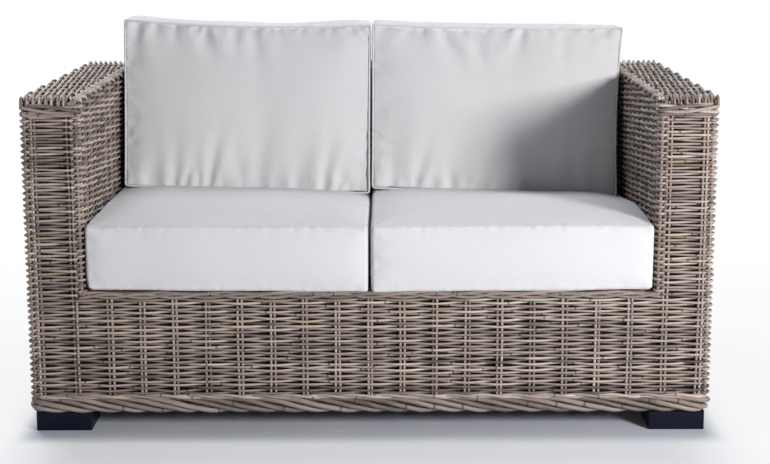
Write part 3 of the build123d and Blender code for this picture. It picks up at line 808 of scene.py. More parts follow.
class LOVESEAT_OT_tops(bpy.types.Operator):
    """Weaves the flat tops of the arms and of the back"""
    bl_idname = "loveseat.tops"
    bl_label = "Woven tops"

    def execute(self, context):
        sizes = cane_sizes()
        places = pair_places()
        random = np.random.default_rng(31)
        half = sizes.rod_spacing / 2
        lip, bend = 16 * MM, 9 * MM
        top = TOP_PLANE + 3.5 * MM
        wave = 0.78 * sizes.wave
        rise_stray, side_stray = 0.5, 0.6  # Shares of the usual wander.
        rod_inset, rod_reach, rod_level = 3 * MM, 12 * MM, top - 1 * MM
        rims = ((1.5 * MM, 6.5 * MM), (6 * MM, 3 * MM))  # Each rim rod's place inside the edge, below the top.

        def stray(marks, stations, share):
            """How far one row wanders at its marks."""
            knots = random.normal(0.0, share * sizes.wander, len(stations))
            return np.interp(marks, np.arange(len(stations)), knots)

        def girth():
            return 0.53 * sizes.cane * (1.0 + random.normal(0.0, 0.05))

        def rod(canes, start, end, out):
            add_rod(canes, bent([start, end], 6 * MM, 12 * MM), out, random, True)

        for name, side in SIDES:
            canes = Canes(40 + int(side))
            inner = high("right_arm_edge_braid").x + 1 * MM
            outer = SIDE_PLANE + 4.5 * MM
            front, rear = FRONT_PLANE - 3 * MM, REAR_PLANE + 3 * MM
            drawn_together, end_swing, nose_length = 0.7 * MM, 2.2 * MM, 26 * MM
            stations = np.concatenate([[front + 6 * MM], places["side"], [rear - 6 * MM]])
            for row in range(int((outer - inner) / sizes.row_pitch) + 1):
                drawn = drawn_together * (1.0 if row % 2 else -1.0)
                x = outer - row * sizes.row_pitch + drawn
                line = bent([(x, front, top - lip), (x, front, top), (x, rear, top), (x, rear, top - lip)],
                            bend, 10 * MM)
                marks = np.interp(line[:, 1], stations, np.arange(len(stations)))
                lift = np.cos(math.pi * marks) * (-1) ** row
                flat = np.clip((line[:, 2] - top + bend) / bend, 0.0, 1.0)
                line[:, 2] += (wave * lift + stray(marks, stations, rise_stray)) * flat
                nose = np.clip(1.0 - (line[:, 1] - front) / nose_length, 0.0, 1.0)
                line[:, 0] += 1.6 * drawn * nose
                line[:, 1] += np.where(line[:, 1] < 0, -1.0, 1.0) * (1.0 - flat) * end_swing * (-1) ** row
                line[:, 0] = side * (line[:, 0] + stray(marks, stations, side_stray))
                canes.add(line, (side, 0.0, 0.0), girth())
            for aside, down in rims:
                x, z = side * (outer - aside), top - down
                rod(canes, (x, front + 4 * MM, z), (x, rear - 4 * MM, z), (0.0, 0.0, 1.0))
            for y in places["side"]:
                for shift in (-half, half):
                    rod(canes, (side * (outer - rod_inset), y + shift, rod_level),
                        (side * (inner - rod_reach), y + shift, rod_level), (0.0, 1.0, 0.0))
            set_on_frame(canes, "woven_%s_top" % name, "%s_arm_top_panel" % name)
        canes = Canes(44)
        near = high("back_edge_braid").y + 1 * MM
        far = REAR_PLANE + 4 * MM
        reach = low("right_arm_top_panel").x - 1 * MM
        x = np.arange(-reach, reach + 5 * MM, 10 * MM)
        marks = np.interp(x, places["back"], np.arange(len(places["back"])))
        for row in range(int((far - near) / sizes.row_pitch) + 1):
            y = far - row * sizes.row_pitch - (1.4 * MM if row % 2 else 0.0)
            lift = np.cos(math.pi * marks) * (-1) ** row
            line = np.stack([x, np.full_like(x, y), top + wave * lift], axis=-1)
            line[:, 2] += stray(marks, places["back"], rise_stray)
            line[:, 1] += stray(marks, places["back"], side_stray)
            canes.add(line, (0.0, 1.0, 0.0), girth())
        for aside, down in rims:
            y, z = far - aside, top - down
            rod(canes, (-reach, y, z), (reach, y, z), (0.0, 0.0, 1.0))
        for place in places["back"]:
            if abs(place) < reach:
                for shift in (-half, half):
                    rod(canes, (place + shift, far - rod_inset, rod_level),
                        (place + shift, near - rod_reach, rod_level), (1.0, 0.0, 0.0))
        set_on_frame(canes, "woven_back_top", "back_top_panel")
        return {"FINISHED"}


def plait(canes, start, end, across, edge, random):
    """A flat three-strand plait of doubled canes from start to end."""
    width, thick, up = 9.6 * MM, 5.2 * MM, np.array([0.0, 0.0, 1.0])
    sharpness = 0.96  # Near 1 the strands run straight from side to side.
    sharpest = 1.29  # The arcsine of that, which scales their sway.
    start, end, across = (np.array(v, dtype=float) for v in (start, end, across))
    length = float(np.linalg.norm(end - start))
    along = np.linspace(0.0, length, int(length / (4.5 * MM)))
    middle = start + (end - start) * (along / length)[:, None]
    for strand in range(3):
        phase = FULL_TURN * (along / edge.plait_period + strand / 3)
        tone, warm, shift = canes.run_values(along)
        for twin in (-0.5, 0.5):
            sway = width * np.arcsin(sharpness * np.sin(phase)) / sharpest + twin * edge.plait_cane * 0.98
            lift = thick * np.sin(2 * phase)
            line = middle + across * sway[:, None] + up * lift[:, None]
            girth = edge.plait_cane / 2 * (1.0 + random.normal(0.0, 0.04))
            canes.add(line, up, girth, along, (0.25 + 0.2 * strand + 0.25 * tone, 0.5 * warm, shift))


class LOVESEAT_OT_painted_shade_backing(bpy.types.Operator):
    """Sets thin dark boards behind the cane, painted shade that fills the gaps of the weave with dark and keeps
    light from showing through it
    """
    bl_idname = "loveseat.backing"
    bl_label = "Backing boards"

    def execute(self, context):
        gap, thick = 7.8 * MM, 1 * MM
        side, well = SIDE_PLANE - 1.3 * gap, WELL_PLANE + 1.3 * gap
        front, rear, well_rear = FRONT_PLANE + gap, REAR_PLANE - gap, WELL_REAR + gap
        top = TOP_PLANE - 8 * MM
        boards = [
            ((-side, rear - thick, SKIN_BOTTOM), (side, rear, SKIN_TOP)),
            ((-well, front, SKIN_BOTTOM), (well, front + thick, APRON_TOP - 4 * MM)),
            ((-well, well_rear, WELL_BOTTOM), (well, well_rear + thick, SKIN_TOP)),
            ((-well, well_rear, top - thick), (well, rear, top)),
        ]
        for sign in (-1, 1):
            for (x, y, z), (far_x, far_y, far_z) in (
                    ((side - thick, front, SKIN_BOTTOM), (side, rear, SKIN_TOP)),
                    ((well, front, SKIN_BOTTOM), (side, front + thick, SKIN_TOP)),
                    ((well, front, WELL_BOTTOM), (well + thick, well_rear, SKIN_TOP)),
                    ((well, front, top - thick), (side, rear, top))):
                boards.append(((sign * x, y, z), (sign * far_x, far_y, far_z)))
        points, faces = [], []
        for near, far in boards:
            near, far = np.minimum(near, far), np.maximum(near, far)
            start = len(points)
            points += [tuple(np.where(pick, far, near)) for pick in np.ndindex(2, 2, 2)]
            faces += [[start + n for n in ring] for ring in (
                (0, 1, 3, 2), (4, 6, 7, 5), (0, 4, 5, 1), (2, 3, 7, 6), (0, 2, 6, 4), (1, 5, 7, 3))]
        # The boards carry painted shade: their near-black stands in for the deep shadow behind the cane.
        mesh = bpy.data.meshes.new("painted_shade_backing")
        mesh.from_pydata(points, [], faces)
        mesh.update()
        piece = new_object("painted_shade_backing", mesh, bpy.data.materials["painted_shade_backing_dressed"])
        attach(piece, "frame")
        return {"FINISHED"}


class LOVESEAT_OT_plaits(bpy.types.Operator):
    """Plaits the inner top edges of the arms and of the back"""
    bl_idname = "loveseat.plaits"
    bl_label = "Edge plaits"

    def execute(self, context):
        edge = context.scene.loveseat_edges
        random = np.random.default_rng(51)
        for name, node, seed, along, clear_start, clear_end, across in (
                ("left_arm", "left_arm_edge_braid", 51, 1, 2 * MM, 14 * MM, (-1, 0, 0)),
                ("right_arm", "right_arm_edge_braid", 53, 1, 2 * MM, 14 * MM, (1, 0, 0)),
                ("back", "back_edge_braid", 58, 0, 4 * MM, -4 * MM, (0, 1, 0))):
            box_low, box_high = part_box(node)
            start = (box_low + box_high) / 2
            start.z -= 0.5 * MM
            end = start.copy()
            start[along] = box_low[along] + clear_start
            end[along] = box_high[along] + clear_end
            canes = Canes(seed, 8)
            plait(canes, start, end, across, edge, random)
            set_on_frame(canes, "plait_" + name, node)
        return {"FINISHED"}


class LOVESEAT_OT_borders(bpy.types.Operator):
    """Winds the bottom border and lays the strands along the apron and the arm fronts"""
    bl_idname = "loveseat.borders"
    bl_label = "Borders"

    def execute(self, context):
        edge = context.scene.loveseat_edges
        sizes = cane_sizes()
        random = np.random.default_rng(61)
        knots = 60  # How many times each strand of the rope strays on its way round.
        box_low, box_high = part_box("front_bottom_border")
        depth = (box_high.y - box_low.y) / 2
        x, y = high("right_bottom_border").x - depth + 3 * MM, box_low.y + depth
        course = Course([(0, -y), (x, -y), (x, y), (-x, y), (-x, -y), (0, -y)], 16 * MM)
        radius = edge.rope_cane / 2
        wide = depth - radius + 4 * MM
        tall = (box_high.z - box_low.z) / 2 - radius - 0.6 * MM
        middle = (box_high.z + box_low.z) / 2 + 2.8 * MM
        pressed = 3.4 * MM  # How far the rope's underside is pressed flat.
        turns = round(course.length / edge.rope_pitch)
        along = np.linspace(0.0, course.length, int(course.length / (11 * MM)))
        plan, out = course.at(along, False)
        canes = Canes(62, 8)
        for strand in range(edge.rope_strands):
            angle = FULL_TURN * (along / course.length * turns + strand / edge.rope_strands)
            stray = np.interp(along, np.linspace(0, course.length, knots), random.normal(0.0, 0.09, knots))
            stray[-1] = stray[0]
            angle = angle + stray
            swing, rise = out * np.cos(angle)[:, None], np.sin(angle)
            height = middle + tall * rise - pressed * np.clip(-rise, 0.0, 1.0) ** 6
            line = np.column_stack([plan + wide * swing, height])
            facing = np.column_stack([swing, rise])
            tone, warm, shift = canes.run_values(along)
            girth = radius * (1.0 + random.normal(0.0, 0.04))
            # The rope's tone and warmth are drawn lower than the other cane's: painted shade for the shadow low
            # down by the floor.
            canes.add(line, facing, girth, along, (0.78 * tone, 0.8 * warm, shift))
        crossing = 2.1 * sizes.pair_spacing  # Length in which two twined strands change places twice.
        turns = round(course.length / crossing)
        for strand in range(2):
            angle = FULL_TURN * (along / course.length * turns + strand / 2)
            swing = out * (0.3 * depth + 3 * MM * np.cos(angle))[:, None]
            line = np.column_stack([plan + swing, box_high.z + 2.2 * MM + 3.2 * MM * np.sin(angle)])
            canes.add(line, np.column_stack([out, np.zeros(len(out))]), 3.4 * MM)
        set_on_frame(canes, "bottom_border_rope", "front_bottom_border", "rear_bottom_border",
                     "left_bottom_border", "right_bottom_border")

        box_low, box_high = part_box("apron_top_border")
        canes = Canes(63, 8)
        reach = box_high.x + 12 * MM
        along = np.arange(-reach, reach + 2 * MM, 8 * MM)
        y, z = box_low.y + 5.2 * MM, (box_low.z + box_high.z) / 2 - 1 * MM
        for start, rise, radius, back, up in (
                (0.0, 4.2 * MM, 3.3 * MM, 0.0, 0.0),
                (math.pi, 4.2 * MM, 3.2 * MM, 0.0, 0.0),
                (0.5 * math.pi, 1.6 * MM, 3.1 * MM, 2.5 * MM, 5.5 * MM)):
            phase = FULL_TURN * along / crossing + start
            line = np.stack([along, y + 2 * MM * np.sin(phase) + back, z + rise * np.cos(phase) + up], axis=-1)
            tone, warm, shift = canes.run_values(along)
            # The twine's tone and warmth are drawn at six tenths: painted shade for the shadow right under the
            # seat cushions.
            canes.add(line, (0, -1, 0), radius, along, (0.6 * tone, 0.6 * warm, shift))
        set_on_frame(canes, "apron_border_twine", "apron_top_border")

        inner, outer = WELL_PLANE - 8 * MM, SIDE_PLANE + 2 * MM
        for name, side in SIDES:
            box_low = low("%s_arm_front_border" % name)
            canes = Canes(65 + int(side), 8)
            y = box_low.y + 3.5 * MM
            for strand in range(4):
                share = np.linspace(0.0, 1.0, 8)
                phase = FULL_TURN * (strand / 3 + 0.13 + 0.55 * share)
                reach, rise = (7.2 * MM, 13.5 * MM) if strand < 3 else (0.0, 1.5 * MM)
                across = np.stack([side * (outer + (inner - outer) * share), y - 0.4 * reach * np.sin(phase),
                                   box_low.z + rise + reach * np.cos(phase)], axis=-1)
                ends = [across[0] + (0.0, 26 * MM, 0.0)], [across[-1] + (0.0, 20 * MM, 0.0)]
                line = bent(np.concatenate([ends[0], across, ends[1]]), 7 * MM, 6 * MM)
                canes.add(line, (0, -0.7, 0.7), 3.6 * MM)
            set_on_frame(canes, "arm_front_strands_%s" % name, "%s_arm_front_border" % name)
        return {"FINISHED"}


ON_FACE = 0.999  # A lattice point past this lies on the cushion's outside; the lattice runs from -1 to 1.
SEAM_HOLD = 0.97  # How firmly a seam stays where it is while the cushion fills.


def lattice_lines(size, step, rounding):
    """Mesh lines across a cushion, closer together where its edge is round."""
    edge = np.array([0.0, 0.34, 0.68, 1.0]) * rounding
    inner = size - 2 * rounding
    count = max(2, int(round(inner / step)))
    middle = rounding + inner * np.arange(1, count) / count
    lines = np.concatenate([edge, middle, size - edge[::-1]])
    return lines / size * 2 - 1


def box_lattice(lines):
    """The points and faces of a closed box made of three sets of lines, and each point's number by its place."""
    last = [len(places) - 1 for places in lines]
    points, numbers, faces = [], {}, []
    for axis, first, second in ((2, 1, 0), (1, 0, 2), (0, 2, 1)):
        rows, columns = sorted((first, second))
        for place in np.ndindex(last[rows], last[columns], 2):
            ring = []
            for ahead, aside in ((0, 0), (1, 0), (1, 1), (0, 1)):
                key = [0, 0, 0]
                key[rows], key[columns], key[axis] = place[0], place[1], place[2] * last[axis]
                key[first] += ahead
                key[second] += aside
                key = tuple(key)
                if key not in numbers:
                    numbers[key] = len(points)
                    points.append([places[index] for places, index in zip(lines, key)])
                ring.append(numbers[key])
            faces.append(ring[::-1] if place[2] else ring)
    return np.array(points), np.array(faces), numbers


def weigh(piece, name, weights):
    """Makes a vertex group with a weight for each vertex."""
    group = piece.vertex_groups.new(name=name)
    rounded = np.round(np.clip(weights, 0.0, 1.0) * 40) / 40
    for weight in np.unique(rounded):
        if weight > 0:
            group.add([int(v) for v in np.nonzero(rounded == weight)[0]], float(weight), "REPLACE")


def read_values(data, name, count):
    """Reads the same vector from each item of a mesh."""
    values = np.empty(count * 3)
    data.foreach_get(name, values)
    return values.reshape(-1, 3)


def move_points(piece, points):
    piece.data.vertices.foreach_set("co", points.ravel())
    piece.data.update()


CLOTH_SETTINGS = {
    "quality": 6, "mass": 0.3, "tension_stiffness": 12, "compression_stiffness": 8, "shear_stiffness": 6,
    "bending_stiffness": 0.08, "tension_damping": 12, "compression_damping": 12, "shear_damping": 12,
    "air_damping": 4, "use_pressure": True, "vertex_group_mass": "seams", "pin_stiffness": 1.0,
    "vertex_group_shrink": "gathers", "shrink_min": 0.0,
}


def inflate(piece, pins, gathers, pressure, slack, limit, room, frames):
    """Fills a cushion's cloth with cloth simulation, held along its seams and gathered beside them.

    Room is the share of its swelling that it keeps along each axis, less where a neighbour is close.
    """
    count = len(piece.data.vertices)
    rest = read_values(piece.data.vertices, "co", count)
    weigh(piece, "seams", pins)
    weigh(piece, "gathers", gathers)
    cloth = piece.modifiers.new("Filling", "CLOTH")
    for key, value in CLOTH_SETTINGS.items():
        setattr(cloth.settings, key, value)
    cloth.settings.uniform_pressure_force = pressure
    cloth.settings.shrink_max = -slack
    cloth.settings.effector_weights.gravity = 0.0
    cloth.collision_settings.use_collision = False
    cloth.point_cache.frame_start = 1
    cloth.point_cache.frame_end = frames
    scene = bpy.context.scene
    for number in range(1, frames + 1):
        scene.frame_set(number)
    shape = piece.evaluated_get(bpy.context.evaluated_depsgraph_get())
    moved = read_values(shape.data.vertices, "co", count)
    piece.modifiers.remove(cloth)
    scene.frame_set(1)
    shift = (moved - rest) * np.array(room)
    size = np.linalg.norm(shift, axis=1, keepdims=True)
    move_points(piece, rest + shift * (limit * np.tanh(size / limit) / np.maximum(size, 1e-9)))


def subdivide(piece):
    """Adds one smooth subdivision and keeps it."""
    smooth = piece.modifiers.new("Smooth", "SUBSURF")
    smooth.levels = 1
    smooth.render_levels = 1
    bpy.context.view_layer.update()
    shape = piece.evaluated_get(bpy.context.evaluated_depsgraph_get())
    mesh = bpy.data.meshes.new_from_object(shape)
    piece.modifiers.clear()
    piece.data = mesh
    mesh.shade_smooth()


def rounded_box(lattice, size, rounding):
    """Places lattice points on a box whose edges are round."""
    half = np.array(size) / 2
    place = lattice * half
    inner = np.clip(place, -(half - rounding), half - rounding)
    return inner + unit(place - inner) * rounding


def seam_mask(lattice):
    """1 on the sewn edges of a cushion."""
    return np.sum(np.abs(lattice) > 1 - 1e-6, axis=1) >= 2


def cushion_mesh(name, points, faces, places, material):
    """A cushion whose points know their places on the flat pattern."""
    mesh = bpy.data.meshes.new(name)
    mesh.from_pydata(points.tolist(), [], faces.tolist())
    mesh.update()
    add_vectors(mesh, "place", places)
    return new_object(name, mesh, material)


def mark_folds(piece, reach, amount):
    """Stores where the cover shows small folds: beside its level and its upright seams, and at the stitches."""
    places = read_places(piece.data)
    gaps = np.abs(places).max(axis=0) - np.abs(places)
    level = bell((gaps[:, 1] + gaps[:, 2]) / reach)
    upright_seams = bell((gaps[:, 0] + gaps[:, 1]) / reach)
    stitches = bell(np.sort(gaps, axis=1)[:, 1] / (9 * MM))
    add_vectors(piece.data, "folds", np.stack([amount * level, 0.8 * amount * upright_seams, stitches], axis=-1))


def read_places(mesh):
    """Each point's place on the flat pattern."""
    return read_values(mesh.attributes["place"].data, "vector", len(mesh.vertices))


# The faces of a cushion: an axis and a direction along it.
LEFT, RIGHT, FRONT, REAR, BOTTOM, TOP = ((axis, sign) for axis in range(3) for sign in (-1, 1))

# Creases by face and the seam that they start from: count, length and depth in millimetres, then lean and width.
SEAT_CREASES = (
    (FRONT, TOP, 24, 17, 1.0, 0.12, 6.0), (FRONT, BOTTOM, 16, 20, 0.9, 0.15, 7.0),
    (FRONT, LEFT, 5, 30, 1.4, 0.3), (FRONT, RIGHT, 5, 30, 1.4, 0.3), (TOP, FRONT, 24, 16, 1.1, 0.15, 6.0),
    (TOP, LEFT, 20, 24, 1.3), (LEFT, TOP, 18, 20, 1.1), (TOP, RIGHT, 20, 24, 1.3), (RIGHT, TOP, 18, 20, 1.1),
    (TOP, REAR, 16, 26, 1.3),
)
BACK_CREASES = (
    (FRONT, TOP, 13, 36, 3.4, 0.2, 8.0), (FRONT, TOP, 6, 85, 4.2, 0.25, 11.0),
    (FRONT, BOTTOM, 15, 40, 3.6, 0.3, 8.0), (FRONT, BOTTOM, 8, 110, 4.6, 0.18, 12.0),
    (FRONT, LEFT, 8, 34, 2.4, 0.3), (LEFT, FRONT, 8, 30, 2.0),
    (REAR, BOTTOM, 12, 40, 2.4), (REAR, LEFT, 8, 34, 2.2),
    (FRONT, RIGHT, 8, 34, 2.4, 0.3), (RIGHT, FRONT, 8, 30, 2.0),
    (REAR, TOP, 12, 40, 2.4), (REAR, RIGHT, 8, 34, 2.2),
    (TOP, FRONT, 15, 30, 2.2), (TOP, REAR, 13, 30, 2.2),
)


class Cloth:
    """The small forms that a filled cover gets from its seams."""

    def __init__(self, piece, size, seed):
        self.piece = piece
        self.half = np.array(size) / 2
        self.random = np.random.default_rng(seed)
        self.places = read_places(piece.data)
        self.lift = np.zeros(len(self.places))

    def face(self, axis, sign):
        """1 on one face of the pattern, falling off round its edges."""
        return np.clip((self.places[:, axis] * sign - self.half[axis] + 10 * MM) / (8 * MM), 0.0, 1.0)

    def creases(self, face, seam, count, length, depth, lean=0.25, width=7.5):
        """Short creases that run from one seam into a face."""
        edge, edge_sign = seam
        along_axis = 3 - face[0] - edge
        on_face = self.face(*face)
        inward = self.half[edge] - self.places[:, edge] * edge_sign
        span = 2 * self.half[along_axis] - 40 * MM
        starts = (np.arange(count) + self.random.uniform(-0.38, 0.38, count) + 0.5) / count * span - span / 2
        for start in starts:
            reach = length * MM * self.random.uniform(0.35, 1.5)
            tilt = self.random.normal(0.0, lean)
            spread = width * MM * self.random.uniform(0.75, 1.45)
            fall = depth * MM * self.random.uniform(0.4, 1.35)
            aside = (self.places[:, along_axis] - start - tilt * inward) / (spread * (1 + 0.9 * inward / reach))
            fade = bell(inward / reach) * (1 - 0.5 * bell(inward / (7 * MM)))
            shape = 0.42 * (bell(aside - 1.75) + bell(aside + 1.75)) - bell(aside)
            self.lift += fall * shape * fade * on_face

    def swells(self, depth, wave, stretch, count=9):
        """Broad soft unevenness of the filling."""
        for _ in range(count):
            way = unit(self.random.normal(0.0, 1.0, 3)) * np.array(stretch) * FULL_TURN / wave
            self.lift += depth / math.sqrt(count) * np.sin(self.places @ way + self.random.uniform(0, FULL_TURN))

    def stitch(self, depth, width):
        """Draws the cloth in along the seams."""
        gaps = np.sort(self.half - np.abs(self.places), axis=1)[:, 1]
        self.lift -= depth * bell(gaps / width)

    def calm_ends(self, share):
        """Evens out the upright faces where one cushion meets the next one or an arm."""
        self.lift *= np.where(self.half[0] - np.abs(self.places[:, 0]) < 1 * MM, share, 1.0)

    def keep(self):
        mesh = self.piece.data
        points = read_values(mesh.vertices, "co", len(self.lift))
        normals = read_values(mesh.vertices, "normal", len(self.lift))
        move_points(self.piece, points + normals * self.lift[:, None])


def seam_gap(lattice, size):
    """How far each lattice point lies from the nearest sewn edge, in metres."""
    gaps = np.sort((1 - np.abs(lattice)) * np.array(size) / 2, axis=1)
    return gaps[:, 1]


def gather_marks(lattice, size, reach, seed):
    """Where the cloth is gathered: beside the seams, more in some places than in others."""
    random = np.random.default_rng(seed)
    place = lattice * np.array(size) / 2
    uneven = np.zeros(len(place))
    for _ in range(14):
        wave = random.normal(0.0, 1.0, 3) * FULL_TURN / 0.16
        uneven += np.sin(place @ wave + random.uniform(0, FULL_TURN))
    uneven = 0.62 + 0.38 * np.tanh(uneven / 2.6)
    return bell(seam_gap(lattice, size) / reach) * uneven


def shape_cloth(piece, size, seed, creases, calm, swells, stitches, folds):
    """Smooths a filled cushion and gives its cover the small forms of its cloth."""
    subdivide(piece)
    cloth = Cloth(piece, size, seed)
    cloth.swells(**swells)
    for row in creases:
        cloth.creases(*row)
    cloth.calm_ends(calm)
    cloth.stitch(**stitches)
    cloth.keep()
    mark_folds(piece, **folds)


def hand_over(piece, name, filling):
    """Says what a finished cushion rides on and replaces."""
    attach(piece, name)
    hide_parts("%s_cover" % name, "%s_%s" % (name, filling))


# How each seat cushion strays from the plain form: its outer front foot raised and drawn in, and its extra dent.
SEAT_SHAPES = {"left": (4 * MM, 5 * MM, 0.0), "right": (0.0, 1 * MM, 6 * MM)}


class LOVESEAT_OT_seats(bpy.types.Operator):
    """Fills the two seat cushions"""
    bl_idname = "loveseat.seats"
    bl_label = "Seat cushions"

    def execute(self, context):
        sizes = context.scene.loveseat_cushions
        material = bpy.data.materials["canvas_dressed"]
        crown, fullness = 6 * MM, 3 * MM  # How far the top and the upright faces swell.
        nose_drop, corner_drop = 3 * MM, 2 * MM  # How far the top's front edge falls, and its corners below that.
        towards_arm, inner_sag = 5 * MM, 7 * MM
        dent_left, dent_slope, dent_start, dent_width = 3 * MM, 15 * MM, -0.35, 0.75
        for index, (name, side) in enumerate(SIDES):
            foot_up, foot_in, dent = SEAT_SHAPES[name]
            name = "%s_seat_cushion" % name
            box_low, box_high = (np.array(c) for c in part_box("%s_cover" % name))
            size = box_high - box_low - (0.0, 5 * MM, 8 * MM)
            centre = (box_low + box_high) / 2
            centre[2] = box_low[2] + size[2] / 2
            lines = [lattice_lines(extent, sizes.mesh, sizes.seat_round) for extent in size]
            lattice, faces, _ = box_lattice(lines)
            points = rounded_box(lattice, size, sizes.seat_round)
            u, v, w = lattice.T
            upper, lower, front = np.clip(w, 0, 1), np.clip(-w, 0, 1), np.clip(-v, 0, 1)
            inner_end, outer_end = (1 - side * u) / 2, (1 + side * u) / 2
            points[:, 2] += upper * (1 - np.abs(u) ** 3) * (1 - np.abs(v) ** 3) * crown
            points[:, 2] -= upper * front ** 6 * (nose_drop + corner_drop * np.abs(u) ** 4)
            points[:, 0] += side * outer_end * towards_arm
            points[:, 2] -= lower * front ** 8 * inner_end ** 2 * inner_sag
            outer_foot = lower ** 4 * outer_end ** 12
            points[:, 2] += front ** 8 * outer_foot * foot_up
            points[:, 0] -= side * outer_foot * foot_in
            pressed = np.clip((v - dent_start) / dent_width, 0, 1)
            sunk = dent_left + dent_slope * (1 + u) / 2 + dent
            points[:, 2] -= upper * pressed ** 2 * (3 - 2 * pressed) * sunk
            swelling = (1 - np.abs(w) ** 2.4) * fullness
            points[:, 1] += np.sign(v) * (np.abs(v) > ON_FACE) * swelling * (1 - np.abs(u) ** 6)
            points[:, 0] += np.sign(u) * (np.abs(u) > ON_FACE) * swelling * (1 - np.abs(v) ** 6) * 0.2
            points += centre
            piece = cushion_mesh(name, points, faces, lattice * size / 2, material)
            pins = np.where(w < -ON_FACE, 1.0, SEAM_HOLD * seam_mask(lattice))
            gathers = gather_marks(lattice, size, reach=26 * MM, seed=71 + index)
            inflate(piece, pins, gathers, pressure=0.4 * sizes.pressure, slack=0.05, limit=6 * MM,
                    room=(0.4, 1.0, 1.0), frames=20)
            shape_cloth(piece, size, seed=101 + index, creases=SEAT_CREASES, calm=0.4,
                        swells={"depth": 1.3 * MM, "wave": 0.26, "stretch": (1.0, 1.0, 1.0)},
                        stitches={"depth": 1.3 * MM, "width": 3.2 * MM}, folds={"reach": 15 * MM, "amount": 0.5})
            hand_over(piece, name, "foam")
        return {"FINISHED"}


# How each back cushion strays from the plain form: its top left and top right corners up, its bottom left and
# bottom right corners forward, its left end aside at the bottom and at the top, its right end likewise, how
# sharply that end bends, and how much lower its underside sits.
BACK_SHAPES = {
    "left": (15 * MM, 1 * MM, 4 * MM, 18 * MM, 2 * MM, -4 * MM, 0.0, 2.6 * MM, 1, 0.0),
    "right": (2 * MM, -7 * MM, 12 * MM, 28 * MM, -2.5 * MM, -1 * MM, -7 * MM, 17 * MM, 2, 6 * MM),
}


def front_loop(numbers, xs, zs):
    """The lattice points of the seam round a back cushion's front, in order."""
    last_x, last_z = len(xs) - 1, len(zs) - 1
    ring = [(i, 0, 0) for i in range(last_x)] + [(last_x, 0, k) for k in range(last_z)]
    ring += [(i, 0, last_z) for i in range(last_x, 0, -1)] + [(0, 0, k) for k in range(last_z, 0, -1)]
    return [numbers[key] for key in ring]


class LOVESEAT_OT_backs(bpy.types.Operator):
    """Fills the two back cushions and sews their piping"""
    bl_idname = "loveseat.backs"
    bl_label = "Back cushions"

    def execute(self, context):
        sizes = context.scene.loveseat_cushions
        material = bpy.data.materials["canvas_dressed"]
        lean = 0.105  # How far the top leans back.
        base, top = 0.165, 0.13  # The thickness at the bottom and at the top.
        middle = (base + top) / 2
        belly_front, belly_rear, top_sag, side_pull = 14 * MM, 5 * MM, 7 * MM, 0.8 * MM
        sunk_left, sunk_slope = 5 * MM, 18 * MM  # How far the underside sinks into the dented seat.
        for index, (name, shifts) in enumerate(BACK_SHAPES.items()):
            (left_up, right_up, left_out, right_out, low_left, high_left, low_right, high_right,
             bend, sunk) = shifts
            name = "%s_back_cushion" % name
            box_low, box_high = (np.array(c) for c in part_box("%s_cover" % name))
            rise = box_high[2] - box_low[2] - 5 * MM
            pattern = np.array([box_high[0] - box_low[0], middle, rise])
            lines = [lattice_lines(extent, 0.85 * sizes.mesh, sizes.back_round) for extent in pattern]
            lattice, faces, numbers = box_lattice(lines)
            points = rounded_box(lattice, pattern, sizes.back_round)
            u, v, w = lattice.T
            to_left, to_right = (1 - u) / 2, (1 + u) / 2
            share = (w + 1) / 2
            thick = base + (top - base) * share
            points[:, 1] = points[:, 1] * thick / middle + lean * share + thick / 2 + box_low[1] + 8 * MM
            points[:, 0] += (box_low[0] + box_high[0]) / 2
            points[:, 2] += box_low[2] + rise / 2 + 1 * MM
            belly = (1 - np.abs(u) ** 3.2) * (1 - np.abs(w) ** 3.2)
            points[:, 1] += (np.clip(v, 0, 1) * belly_rear - np.clip(-v, 0, 1) * belly_front) * belly
            points[:, 2] -= np.clip(w, 0, 1) ** 3 * (1 - np.abs(u) ** 2.5) * top_sag
            points[:, 0] -= np.sign(u) * np.abs(u) ** 8 * (1 - np.abs(w) ** 2.5) * side_pull
            points[:, 0] += to_left * (low_left + (high_left - low_left) * share)
            points[:, 0] += to_right * (low_right + (high_right - low_right) * share ** bend)
            points[:, 2] += share ** 2 * (left_up * to_left ** 2 + right_up * to_right ** 2)
            points[:, 1] -= (1 - share) ** 2 * (left_out * to_left ** 2 + right_out * to_right ** 2)
            points[:, 2] -= (1 - share) ** 2 * (sunk_left + sunk_slope * to_right + sunk)
            piece = cushion_mesh(name, points, faces, lattice * pattern / 2, material)
            gathers = gather_marks(lattice, pattern, reach=34 * MM, seed=81 + index)
            inflate(piece, SEAM_HOLD * seam_mask(lattice), gathers, pressure=sizes.pressure, slack=0.12,
                    limit=14 * MM, room=(0.2, 1.0, 1.0), frames=24)
            seam_points = [piece.data.vertices[n] for n in front_loop(numbers, lines[0], lines[2])]
            normals = np.array([point.normal for point in seam_points])
            seam = np.array([point.co for point in seam_points])
            for _ in range(2):
                seam = (np.roll(seam, 1, axis=0) + 2 * seam + np.roll(seam, -1, axis=0)) / 4
            seam = seam + normals * 0.35 * sizes.piping
            seam, normals = (np.concatenate([ring, ring[:2]]) for ring in (seam, normals))
            shape_cloth(piece, pattern, seed=111 + index, creases=BACK_CREASES, calm=0.3,
                        swells={"depth": 2.4 * MM, "wave": 0.20, "stretch": (1.0, 1.0, 0.45)},
                        stitches={"depth": 1.6 * MM, "width": 3.5 * MM}, folds={"reach": 45 * MM, "amount": 1.0})
            hand_over(piece, name, "filling")
            cord = Canes(90 + index, 8)
            cord.add(seam, normals, sizes.piping / 2)
            edging = cord.piece(name.replace("cushion", "piping"), material)
            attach(edging, name)
        return {"FINISHED"}


